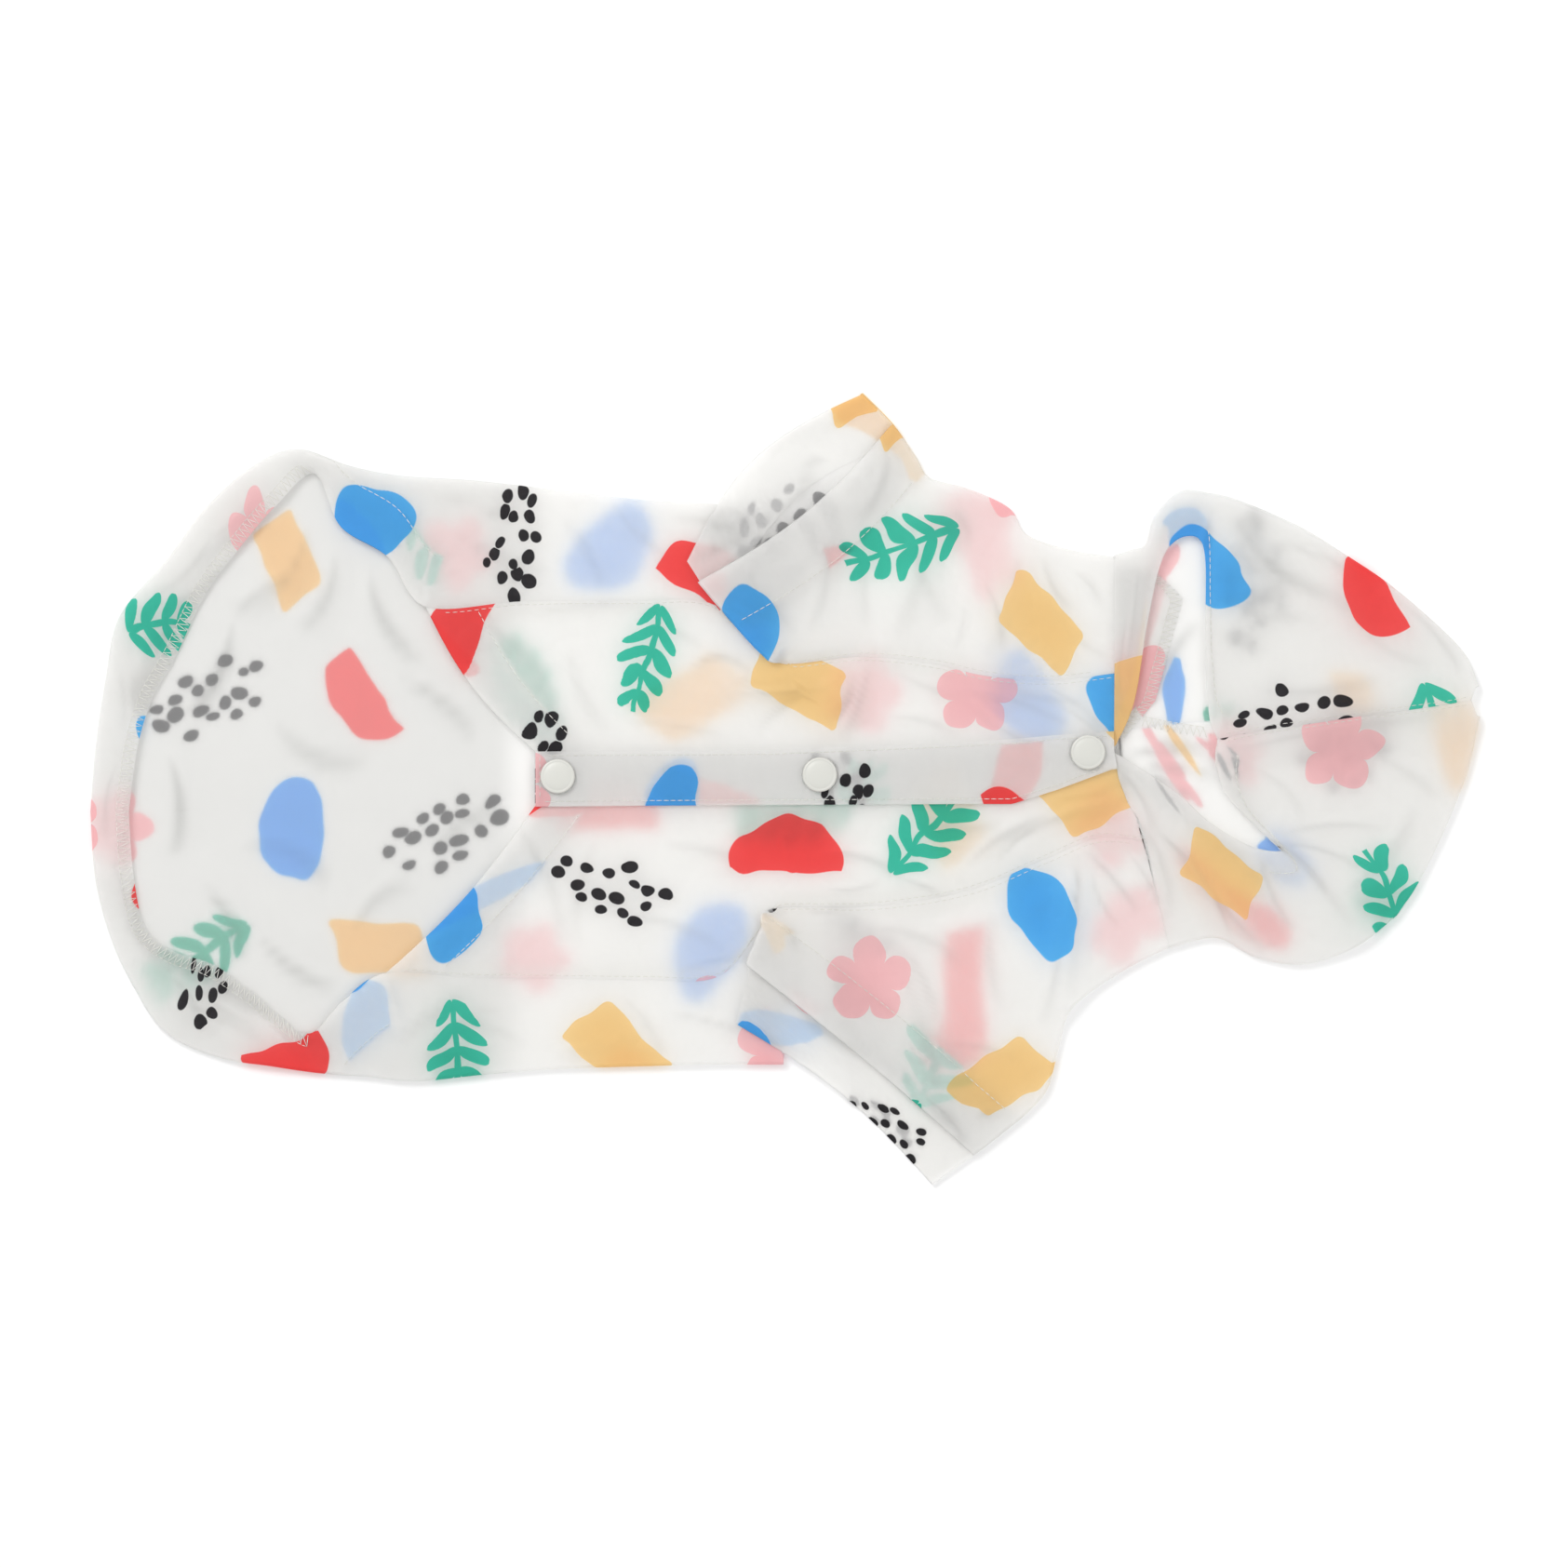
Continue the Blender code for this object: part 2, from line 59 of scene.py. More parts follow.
# the largest folds of the upper layer
mainFolds = [
    # from x, y, to x, y, half width, height
    (-19.0, 37.0, 15.0, 37.0, 7.0, 1.6),
    (25.0, 42.0, 15.0, 22.0, 7.0, 1.4),
    (108.0, 31.0, 72.0, 38.0, 7.0, 1.2),
    (110.0, -4.0, 72.0, -19.0, 7.0, 1.4),
    (53.0, 97.0, 39.0, 53.0, 9.0, 1.8),
    (84.0, 84.0, 72.0, 46.0, 8.0, 1.5),
    (105.0, -24.0, 101.0, -76.0, 7.0, 2.0),
    (38.0, -53.0, 55.0, -112.0, 9.0, 1.8),
    (160.0, 18.5, 238.0, 29.0, 10.0, 2.0),
    (178.0, -20.0, 203.0, -50.0, 8.0, 2.2),
    (165.0, 84.0, 218.0, 55.0, 10.0, 1.6),
    (130.0, -12.0, 160.0, -48.0, 8.0, 1.8),
    (-182.0, 108.0, -214.0, 80.0, 8.0, 1.6),
    (-236.0, 20.0, -240.0, -30.0, 8.0, 1.6),
    (-214.0, -78.0, -186.0, -92.0, 8.0, 1.4),
    (-140.0, -92.0, -112.0, -72.0, 9.0, 1.2),
]

# smaller creases, each its own length, bend, width and height; below zero is a trough
creases = [
    # from x, y, to x, y, bend, half width, height
    # belly, right side
    (-36, 42, -12, 41, 6.0, 2.6, 0.7),
    (-19, 35, 17, 37, -1.5, 1.6, 0.8),
    (17, 37, -11, 20, -3.0, 2.4, -0.6),
    (29, 44, 20, 17, 1.5, 2.2, 0.7),
    (24, 38, 14, 22, 2.0, 1.8, -0.6),
    (65, 33, 88, 16, -2.0, 1.6, 0.6),
    (60, 36, 104, 21, 3.0, 2.2, 0.5),
    (-110, 60, -84, 30, 4.0, 3.0, 0.5),
    (-92, 62, -50, 66, 2.0, 2.4, 0.4),
    (-78, 52, -64, 20, -3.0, 3.4, 0.45),
    (-52, 60, -30, 50, 2.0, 2.4, 0.5),
    (-56, 24, -22, 19, 1.0, 2.0, 0.4),
    (36, 26, 62, 19, 2.0, 2.6, 0.45),
    (40, 42, 66, 34, -2.0, 2.6, 0.5),
    (92, 37, 115, 20, 2.0, 2.0, 0.55),
    (98, 30, 116, 17, 0.5, 1.4, -0.45),
    # belly, left side
    (12, -23, 42, -32, 3.0, 2.6, 0.8),
    (41, -32, 56, -39, 1.0, 1.8, 0.7),
    (14, -36, 33, -33, -1.5, 1.6, 0.6),
    (65, -28, 94, -10, 3.0, 2.6, 0.7),
    (76, -27, 90, -14, 1.5, 1.6, -0.5),
    (98, -3, 118, 2, -1.0, 1.6, 0.6),
    (94, -12, 121, -6, 2.0, 2.2, 0.6),
    (-96, -14, -80, -56, 3.0, 3.2, 0.45),
    (-68, -16, -76, -56, -2.0, 2.6, 0.4),
    (-44, -20, -12, -28, 2.0, 3.2, 0.45),
    (-58, -46, -22, -58, 3.0, 3.0, 0.5),
    (-40, -66, -8, -60, 1.5, 2.0, 0.4),
    (48, -10, 78, -12, -3.0, 3.0, 0.5),
    (4, -46, 26, -42, 1.0, 1.8, 0.4),
    # right sleeve
    (-32, 82, -15, 89, 1.0, 1.7, 0.7),
    (59, 101, 66, 90, 1.0, 2.0, 0.6),
    (92, 83, 103, 64, -2.0, 2.2, 0.7),
    (103, 78, 113, 66, 1.5, 1.8, 0.6),
    (97, 60, 116, 47, -1.0, 1.8, 0.5),
    (36, 122, 24, 96, 4.0, 3.0, 0.5),
    (22, 130, 4, 104, -3.0, 2.6, 0.45),
    (14, 92, 8, 56, 3.0, 3.0, 0.5),
    (30, 84, 30, 56, -2.0, 2.4, -0.4),
    (44, 104, 58, 60, -4.0, 3.4, 0.5),
    (70, 76, 78, 48, 2.0, 2.2, 0.55),
    (64, 66, 60, 50, 1.0, 1.6, 0.4),
    (-18, 70, 4, 56, 2.0, 2.0, 0.5),
    (-8, 98, 12, 112, -2.0, 2.4, 0.5),
    # left sleeve
    (-2, -47, 4, -60, 1.0, 2.0, 0.5),
    (18, -58, 17, -80, 1.5, 2.4, 0.5),
    (41, -56, 54, -84, 2.0, 2.6, 0.6),
    (-4, -70, 30, -96, -3.0, 1.8, 0.6),
    (50, -110, 64, -127, 1.0, 1.8, 0.8),
    (74, -108, 69, -120, 1.0, 1.6, 0.5),
    (107, -22, 126, -44, 1.0, 2.0, 0.9),
    (110, -30, 120, -50, -2.0, 1.6, -0.6),
    (104, -23, 102, -56, 1.0, 1.4, -0.7),
    (96, -40, 92, -84, 3.0, 2.6, 0.6),
    (74, -44, 78, -80, -3.0, 2.8, 0.5),
    (30, -50, 64, -64, 4.0, 3.2, 0.5),
    (58, -92, 84, -98, 2.0, 2.4, 0.5),
    (122, -22, 134, -42, 1.0, 1.6, 0.6),
    # hood, right half
    (152, 98, 146, 82, 1.0, 1.8, 0.6),
    (162, 96, 194, 68, -4.0, 3.0, 0.6),
    (160, 52, 190, 60, 5.0, 3.4, 0.4),
    (166, 36, 214, 40, -3.0, 3.0, 0.5),
    (219, 68, 242, 42, 2.0, 2.2, 0.6),
    (176, 88, 206, 76, 1.5, 2.0, 0.5),
    (204, 60, 232, 44, -3.0, 2.8, 0.4),
    (126, 80, 121, 40, 1.0, 1.8, 0.5),
    (122, 62, 120, 28, -1.0, 1.3, -0.4),
    # hood, left half
    (162, 14, 232, 25, 2.0, 2.4, 0.6),
    (172, -17, 194, -38, 2.0, 2.0, 0.8),
    (176, -20, 208, -30, 3.0, 2.0, 0.6),
    (178, -16, 214, -14, 2.0, 1.8, 0.6),
    (170, -24, 182, -50, -2.0, 1.8, 0.6),
    (199, -38, 226, -6, -4.0, 3.0, 0.6),
    (210, 12, 234, -4, 2.0, 2.8, 0.4),
    (168, 8, 186, -10, 2.0, 2.6, 0.4),
    (120, 6, 132, -14, 1.5, 1.7, 0.7),
    (127, -12, 138, -46, 3.0, 2.2, 0.6),
    (134, -16, 152, -40, 2.0, 2.0, 0.7),
    (144, -22, 160, -54, 1.0, 1.6, -0.6),
    (150, -30, 172, -58, -2.0, 2.2, 0.6),
    # sides and rear rim
    (-132, 104, -96, 96, 2.0, 2.2, 0.5),
    (-120, 92, -84, 78, -2.0, 2.8, 0.5),
    (-82, 98, -66, 70, 3.0, 2.8, 0.5),
    (-62, 102, -40, 82, -2.0, 2.4, 0.45),
    (-44, 98, -14, 90, 2.0, 2.6, 0.45),
    (-167, 112, -186, 92, -2.0, 2.0, 0.7),
    (-190, 108, -206, 90, 2.0, 1.8, 0.6),
    (-206, 92, -226, 70, 3.0, 2.4, 0.6),
    (-226, 66, -232, 42, 1.0, 1.8, 0.6),
    (-240, 44, -238, 22, 1.0, 1.8, 0.5),
    (-240, 10, -244, -18, -2.0, 1.7, 0.6),
    (-243, -24, -236, -52, 2.0, 2.0, 0.6),
    (-226, -62, -208, -86, 2.0, 2.2, 0.7),
    (-212, -70, -190, -84, -2.0, 1.8, 0.6),
    (-186, -84, -172, -98, 1.0, 1.8, 0.6),
    (-132, -100, -104, -78, 3.0, 2.4, 0.6),
    (-128, -82, -94, -91, 2.0, 2.0, 0.5),
    (-86, -96, -52, -88, -2.0, 2.6, 0.5),
    (-60, -74, -44, -96, 2.0, 2.2, 0.45),
    (-42, -80, 10, -98, 2.0, 2.0, 0.6),
]

foldCreases = [(x0, y0, x1, y1, 1.5, half * 0.45, 0.45) for x0, y0, x1, y1, half, height in mainFolds]

# creases of the lower layer, seen in the rear opening and inside the hood
innerCreases = [
    # from x, y, to x, y, bend, half width, height
    (-172, 92, -200, 64, 6.0, 3.2, 0.9),
    (-162, 84, -176, 56, 4.0, 3.6, 0.6),
    (-199, 60, -214, 26, 3.0, 3.0, 0.8),
    (-150, 78, -132, 46, -4.0, 4.0, 0.7),
    (-140, 40, -112, 18, 3.0, 4.0, 0.6),
    (-126, -20, -104, -8, 2.0, 3.6, 0.6),
    (-196, -20, -164, -34, 5.0, 5.0, 0.6),
    (-210, -34, -196, -62, 3.0, 3.4, 0.9),
    (-190, -52, -162, -72, -3.0, 3.2, 0.7),
    (-222, 12, -220, -24, 3.0, 3.4, 0.8),
    (-184, 24, -150, 10, -6.0, 6.0, 0.5),
    (-156, -52, -134, -34, 4.0, 4.4, 0.5),
    (120, 13, 152, 13, 1.0, 1.8, 1.3),
    (121, 10, 154, 5, 0.5, 1.6, 1.2),
    (121, 7, 150, -5, 1.0, 2.0, 1.2),
    (126, 18, 156, 17, -1.0, 2.2, 0.7),
    (132, 30, 148, 60, 3.0, 3.0, 0.8),
    (158, -20, 178, -50, 2.0, 2.6, 0.8),
]

neckSeam = [
    # y, x
    (-57.0, 137.6),
    (-48.0, 135.2),
    (-33.5, 132.0),
    (-19.0, 129.2),
    (-13.0, 127.4),
    (-5.0, 122.6),
    (4.0, 119.2),
    (14.0, 117.6),
    (45.0, 117.8),
    (86.0, 117.8),
]


def spreadRows(rows, steps):
    # smooth rows between the rows of a table
    rows = np.array(rows, float)
    last = len(rows) - 1
    full = []
    for k in range(last):
        a, b, c, d = rows[max(0, k - 1)], rows[k], rows[k + 1], rows[min(last, k + 2)]
        for s in range(steps):
            t = s / steps
            curve = (2 * a - 5 * b + 4 * c - d) * t * t + (3 * b - a - 3 * c + d) * t ** 3
            full.append(0.5 * (2 * b + (c - a) * t + curve))
    full.append(rows[last])
    return np.array(full)


def smooth(value):
    value = np.clip(value, 0.0, 1.0)
    return value * value * (3.0 - 2.0 * value)


def unit(way):
    length = np.linalg.norm(way, axis=-1, keepdims=True)
    return way / np.maximum(length, 1e-9)


def foldRise(x, y):
    total = np.zeros_like(x)
    for x0, y0, x1, y1, half, height in mainFolds:
        ax, ay = x1 - x0, y1 - y0
        part = np.clip(((x - x0) * ax + (y - y0) * ay) / (ax * ax + ay * ay), 0.0, 1.0)
        away = np.hypot(x - x0 - part * ax, y - y0 - part * ay) / half
        total += height * np.exp(-away * away)
    return np.minimum(total, shirt["mostRise"])


def creaseRise(x, y, table):
    total = np.zeros_like(x)
    for x0, y0, x1, y1, bend, half, height in table:
        ax, ay = x1 - x0, y1 - y0
        length = math.hypot(ax, ay)
        part = ((x - x0) * ax + (y - y0) * ay) / (length * length)
        side = ((y - y0) * ax - (x - x0) * ay) / length
        inside = np.clip(part, 0.0, 1.0)
        fade = np.clip(4.0 * inside * (1.0 - inside), 0.0, 1.0) ** 0.8
        away = (side - bend * 4.0 * inside * (1.0 - inside)) / (half * (0.75 + 0.5 * inside))
        total += height * fade * (np.exp(-away * away) - 0.4 * np.exp(-((away - 1.9) / 1.2) ** 2))
    return total


def paintedShade(x, y, table):
    # painted shade along the creases: 1 on the line of a crease, 0 away from it
    total = np.zeros_like(x)
    for x0, y0, x1, y1, bend, half, height in table:
        ax, ay = x1 - x0, y1 - y0
        length = math.hypot(ax, ay)
        part = ((x - x0) * ax + (y - y0) * ay) / (length * length)
        side = ((y - y0) * ax - (x - x0) * ay) / length
        inside = np.clip(part, 0.0, 1.0)
        fade = np.clip(4.0 * inside * (1.0 - inside), 0.0, 1.0) ** 0.7
        away = (side - bend * 4.0 * inside * (1.0 - inside)) / (half * (0.35 + 0.4 * inside))
        total += min(1.0, abs(height) * 1.25) * fade * np.exp(-away * away)
    return np.clip(total, 0.0, 1.0)


def waveRise(x, y, seed, longest, shortest):
    # small uneven waves, the same on every run
    dice = random.Random(seed)
    total = np.zeros_like(x)
    for _ in range(26):
        length = shortest * (longest / shortest) ** dice.random()
        turn = dice.random() * 2 * math.pi
        phase = dice.random() * 2 * math.pi
        ripple = np.sin((x * math.cos(turn) + y * math.sin(turn)) * 2 * math.pi / length + phase)
        total += ripple * (length / longest) ** 0.8
    return total / 5.0


def neckX(y):
    table = np.array(neckSeam)
    return np.interp(y, table[:, 0], table[:, 1])


def lineDistance(x, y, line):
    # distance to a line of plan points, and how far along it the nearest place is
    best = np.full(x.shape, 1e9)
    along = np.zeros_like(x)
    done = 0.0
    for a, b in zip(line[:-1], line[1:]):
        ax, ay = b[0] - a[0], b[1] - a[1]
        length = math.hypot(ax, ay)
        if length < 1e-6:
            continue
        part = np.clip(((x - a[0]) * ax + (y - a[1]) * ay) / (length * length), 0.0, 1.0)
        away = np.hypot(x - a[0] - part * ax, y - a[1] - part * ay)
        near = away < best
        best = np.where(near, away, best)
        along = np.where(near, done + part * length, along)
        done += length
    return best, along


print("shirt: tables of the pieces")
backPiece = {
    # one row per section from the rear centre to the armhole: fold x, y, edge x, y, spine x
    "right": [
        (-250.0, -8.0, -236.0, -8.0, -212.0),
        (-248.0, 16.0, -233.0, 14.5, -208.0),
        (-244.6, 39.0, -228.0, 32.0, -203.0),
        (-239.5, 62.0, -219.5, 47.5, -195.0),
        (-222.0, 83.0, -209.0, 69.5, -186.0),
        (-209.0, 100.5, -196.0, 87.0, -176.0),
        (-192.5, 115.5, -183.0, 102.0, -166.0),
        (-176.0, 122.2, -169.5, 113.2, -154.0),
        (-157.0, 116.2, -160.0, 94.5, -142.0),
        (-138.5, 112.6, -143.0, 83.5, -125.5),
        (-113.5, 111.0, -129.3, 65.5, -108.0),
        (-82.0, 107.5, -95.0, 67.4, -76.0),
        (-52.0, 104.0, -55.0, 67.8, -50.0),
        (-26.5, 102.5, -27.5, 66.8, -25.0),
        (-1.0, 100.0, -3.5, 49.5, -1.0),
    ],
    "left": [
        (-250.0, -8.0, -236.0, -8.0, -212.0),
        (-248.2, -32.5, -234.5, -30.5, -208.0),
        (-242.5, -54.0, -230.5, -49.0, -203.0),
        (-234.0, -72.0, -220.5, -58.0, -195.0),
        (-223.0, -87.5, -206.0, -63.0, -186.0),
        (-203.5, -96.5, -192.5, -72.0, -176.0),
        (-185.5, -99.5, -182.0, -81.0, -166.0),
        (-168.5, -102.0, -171.0, -88.0, -154.0),
        (-150.5, -103.4, -159.0, -76.0, -142.0),
        (-133.0, -105.0, -143.5, -66.0, -125.5),
        (-108.5, -102.6, -115.0, -67.5, -108.0),
        (-82.0, -100.6, -82.0, -68.0, -76.0),
        (-52.0, -99.6, -52.0, -68.5, -50.0),
        (-25.0, -99.0, -25.0, -67.5, -25.0),
        (-1.0, -99.0, -10.0, -51.0, -1.0),
    ],
    "spineY": -8.0,
    "cornerRow": {"right": 10, "left": 9},   # the belly panels begin here
    "rimEndRow": 7,
    "rimDrop": 1.5,
    "hemWidth": 19.0,
}

sleevePiece = {
    # one row per section from the neck to the cuff: fold, upper edge, lower edge
    "right": [
        (117.6, 83.5, 117.4, 41.5, 117.4, 58.0),
        (102.0, 86.0, 95.0, 39.0, 94.0, 60.0),
        (86.6, 91.4, 72.0, 40.5, 70.0, 62.0),
        (80.0, 101.0, 52.0, 45.0, 46.0, 64.0),
        (65.0, 108.0, 26.5, 47.5, 22.0, 66.0),
        (51.5, 112.0, 0.5, 45.0, 2.0, 68.0),
        (46.5, 119.5, -9.5, 50.0, -7.0, 62.0),
        (38.5, 131.0, -31.0, 74.5, -20.0, 60.0),
        (27.5, 142.3, -34.0, 80.0, -35.5, 81.5),
    ],
    "left": [
        (137.4, -57.0, 129.4, -19.0, 132.0, -34.0),
        (120.0, -66.0, 112.0, -17.5, 108.0, -40.0),
        (103.0, -78.5, 92.0, -25.5, 82.0, -46.0),
        (98.0, -92.5, 65.0, -36.5, 54.0, -53.0),
        (94.0, -107.5, 31.5, -42.0, 26.0, -60.0),
        (87.0, -116.0, -5.0, -43.0, 2.0, -66.0),
        (78.5, -123.0, -9.0, -51.0, -7.0, -61.0),
        (67.5, -131.5, -14.0, -63.0, -14.0, -70.0),
        (52.5, -142.2, -17.0, -70.0, -18.0, -84.0),
    ],
    "armpitRow": 5,
    "cuffRow": 7,
    "cuffCurve": {"right": (5.0, -9.0), "left": (1.0, 4.0)},
    "outEdge": {"right": 112.0, "left": 109.0},
    "lift": 3.5,
    "downX": 34.0,
    "armholeX": 13.0,
    "hemWidth": 21.0,
}

hoodPiece = {
    # one row per section from the tip to the neck: fold, upper edge, lower edge
    "right": [
        (248.8, 37.0, 245.5, 32.5, 245.5, 31.5),
        (243.5, 49.0, 235.0, 30.5, 235.0, 30.5),
        (230.5, 62.0, 220.5, 28.5, 220.5, 29.5),
        (215.5, 74.5, 203.5, 26.5, 203.5, 28.5),
        (201.0, 84.2, 187.0, 24.0, 187.0, 27.5),
        (187.0, 93.0, 169.5, 21.5, 169.5, 26.0),
        (173.0, 99.6, 154.5, 19.4, 157.0, 25.0),
        (166.0, 102.4, 151.0, 36.0, 149.0, 24.5),
        (159.5, 104.8, 150.5, 58.0, 143.0, 24.0),
        (152.0, 106.4, 150.0, 86.0, 138.0, 23.5),
        (141.5, 107.0, 143.5, 91.0, 134.0, 23.5),
        (132.3, 98.0, 135.5, 84.0, 130.0, 22.5),
        (129.0, 88.0, 130.0, 62.0, 126.0, 22.0),
        (124.0, 86.0, 125.0, 32.0, 122.0, 21.5),
        (118.0, 84.0, 118.0, 15.5, 118.0, 21.0),
    ],
    "left": [
        (249.2, 26.0, 246.0, 31.5, 246.0, 30.9),
        (247.4, 17.5, 235.0, 29.5, 235.0, 29.9),
        (245.0, 7.0, 220.5, 27.5, 220.5, 28.9),
        (241.2, -3.5, 203.5, 25.0, 203.5, 27.9),
        (236.6, -14.5, 187.0, 22.5, 187.0, 26.9),
        (231.6, -25.2, 169.5, 20.2, 169.5, 25.4),
        (226.0, -35.6, 155.0, 16.5, 157.0, 24.4),
        (221.0, -43.0, 156.8, 0.5, 149.0, 23.9),
        (218.0, -46.5, 169.0, -14.0, 143.0, 23.4),
        (204.0, -57.0, 177.5, -22.0, 138.0, 22.9),
        (186.0, -63.0, 167.0, -20.8, 134.0, 22.9),
        (168.5, -60.4, 152.5, -12.5, 130.0, 21.9),
        (154.5, -53.5, 139.5, -1.0, 126.0, 21.4),
        (138.0, -57.0, 118.0, 13.0, 118.0, 20.4),
    ],
    "seamRow": 6,           # the head seam runs from the tip to this row
    "brimWidth": 10.0,
    # an even painted shade over the whole hood
    "evenShade": 0.15,
    # neck facing inside the hood: y, x of its free edge
    "facingEdge": [(18.4, 121.6), (31.7, 132.6), (50.0, 137.6), (68.5, 142.6), (72.8, 138.6), (79.0, 131.6)],
    "backSeam": [(127.9, 22.6), (139.0, 20.4), (151.0, 18.6)],
}

bandPiece = {
    # x, upper y, lower y
    "line": [
        (-90.0, 13.5, -6.0),
        (-48.5, 13.7, -5.6),
        (-6.5, 14.0, -5.4),
        (31.5, 15.5, -5.2),
        (65.0, 17.0, -5.0),
        (81.0, 18.0, -5.0),
        (97.0, 19.4, 0.0),
        (117.4, 20.8, 7.6),
    ],
    "lift": 1.15,
}

steps = shirt["rowSteps"]
backRows = {side: spreadRows(backPiece[side], steps) for side in ("right", "left")}
sleeveRows = {side: spreadRows(sleevePiece[side], steps) for side in ("right", "left")}
hoodRows = {side: spreadRows(hoodPiece[side], steps) for side in ("right", "left")}

# the two hood halves share one line along the head
seamCount = hoodPiece["seamRow"] * steps + 1
for a, b in ((2, 4), (4, 6)):
    shared = (hoodRows["right"][:seamCount, a:b] + hoodRows["left"][:seamCount, a:b]) * 0.5
    hoodRows["right"][:seamCount, a:b] = shared
    hoodRows["left"][:seamCount, a:b] = shared


def outerLine(side):
    # side seam, then the sleeve seam up to the neck
    start = backPiece["cornerRow"][side] * steps
    armpit = sleevePiece["armpitRow"] * steps
    bodySeam = backRows[side][start:, 2:4]
    sleeveSeam = sleeveRows[side][armpit::-1, 2:4]
    return np.concatenate([bodySeam, sleeveSeam[1:]])


seamLines = [
    outerLine("right"),
    outerLine("left"),
    np.array([(x, y) for y, x in neckSeam]),
    hoodRows["right"][:seamCount, 2:4],
]


def underSleeve(x, y):
    # 1 where a sleeve lies on the body, so the body stays calm there
    right = smooth((16.0 - x) / 10.0) * smooth((x + 44.0) / 8.0) * smooth((y - 38.0) / 6.0)
    left = smooth((16.0 - x) / 10.0) * smooth((x + 26.0) / 8.0) * smooth((-y - 36.0) / 6.0)
    return np.maximum(right, left)


def topHeight(x, y, onBody=False):
    # height of the upper layer's outside
    fine = creaseRise(x, y, creases) + 0.16 * waveRise(x, y, 3, 46.0, 9.0)
    if onBody:
        fine = fine * (1.0 - underSleeve(x, y))
    rise = foldRise(x, y) + np.clip(fine, -1.2, 1.3)
    for line in seamLines:
        away, along = lineDistance(x, y, line)
        pucker = 0.5 + 0.5 * np.sin(along * 2 * math.pi / 6.3 + 1.7 * np.sin(along / 9.0))
        rise -= 0.16 * np.exp(-(away / 1.3) ** 2)
        rise += 0.34 * (pucker - 0.5) * np.exp(-(away / 4.0) ** 2)
    return shirt["layerHeight"] + rise


def sleeveBase(side):
    sign = 1.0 if side == "right" else -1.0

    def height(x, y):
        near = smooth((sleevePiece["downX"] - x) / (sleevePiece["downX"] - sleevePiece["armholeX"]))
        out = smooth((sleevePiece["outEdge"][side] + 14.0 - sign * y) / 14.0)
        return sleevePiece["lift"] * near * out

    return height


def noBase(x, y):
    return np.zeros_like(x)


def lowerBed(x, y):
    # height of the lower layer above the surface, with its creases
    bed = 0.12 + 0.1 * waveRise(x, y, 8, 40.0, 10.0) + creaseRise(x, y, innerCreases)
    return np.clip(bed, 0.0, shirt["mostBed"])


class Sheet:
    # a grid of outside points with its flat pattern; row by row across the piece
    def __init__(self, points, flat, onTop):
        self.points = np.array(points, float)
        self.flat = np.array(flat, float)
        self.onTop = np.array(onTop, float)

    def each(self, change):
        return Sheet(change(self.points), change(self.flat), change(self.onTop))

    def normals(self):
        down = np.gradient(self.points, axis=0)
        across = np.gradient(self.points, axis=1)
        return unit(np.cross(across, down))


def straight(start, end, count, bow=0.0):
    t = np.linspace(0.0, 1.0, count + 1)[:, None]
    way = end - start
    side = unit(np.array([-way[1], way[0]]))
    return start + way * t + side * bow * np.sin(math.pi * t)


def foldedSheet(rows, base, counts, bows, flatFrom, onBody=False, firstAcross=None):
    # upper edge, round the fold, lower edge, for every row
    folds, uppers, lowers = rows[:, 0:2], rows[:, 2:4], rows[:, 4:6]
    radius = shirt["layerHeight"] * 0.5
    plan, place, share, runs, turns = [], [], [], [], []
    last = len(rows) - 1
    for k in range(len(rows)):
        run = unit(folds[min(k + 1, last)] - folds[max(k - 1, 0)])
        across = np.array([-run[1], run[0]])
        if across @ ((uppers[k] + lowers[k]) * 0.5 - folds[k]) < 0:
            across = -across
        if k == 0 and firstAcross is not None:
            across = np.array(firstAcross)
        turn = folds[k] + across * radius
        bowUp, bowLow = bows(k)
        top = straight(uppers[k], turn, counts[0], bowUp)
        angle = np.linspace(0.0, math.pi, shirt["foldSteps"] + 1)[1:-1]
        arc = turn - across * (radius * np.sin(angle))[:, None]
        low = straight(turn, lowers[k], counts[1], bowLow)
        plan.append(np.concatenate([top, arc, low]))
        place.append(np.concatenate([top, np.repeat(turn[None], len(arc), 0), low]))
        share.append(np.concatenate([np.ones(len(top)), 0.5 * (1 + np.cos(angle)), np.zeros(len(low))]))
        turns.append(turn)
        if flatFrom == "upper":
            runs.append(unit(turn - uppers[k]))
        else:
            runs.append(unit(turn - lowers[k]))
    plan, place, share = np.array(plan), np.array(place), np.array(share)
    turns, runs = np.array(turns), np.array(runs)
    x, y = place[..., 0], place[..., 1]
    tall = topHeight(x, y, onBody)
    edge = np.minimum(1.0, np.arange(plan.shape[1])[::-1] / 6.0)
    lowest = lowerBed(x, y) * (1.0 - share) ** 4 * edge[None, :]
    z = base(x, y) + tall * share + lowest
    points = np.concatenate([plan, z[..., None]], axis=2)
    # unroll the far layer past the fold
    arcStart = counts[0]
    arcEnd = arcStart + shirt["foldSteps"]
    flat = plan.copy()
    gaps = np.linalg.norm(np.diff(plan, axis=1), axis=2)
    arcGap = math.pi * radius / shirt["foldSteps"]
    if flatFrom == "upper":
        reach = np.zeros(len(rows))
        for c in range(arcStart + 1, plan.shape[1]):
            reach = reach + (arcGap if c <= arcEnd else gaps[:, c - 1])
            flat[:, c] = turns + runs * reach[:, None]
    else:
        reach = np.zeros(len(rows))
        for c in range(arcEnd - 1, -1, -1):
            reach = reach + (arcGap if c >= arcStart else gaps[:, c])
            flat[:, c] = turns + runs * reach[:, None]
    return Sheet(points, flat, share)


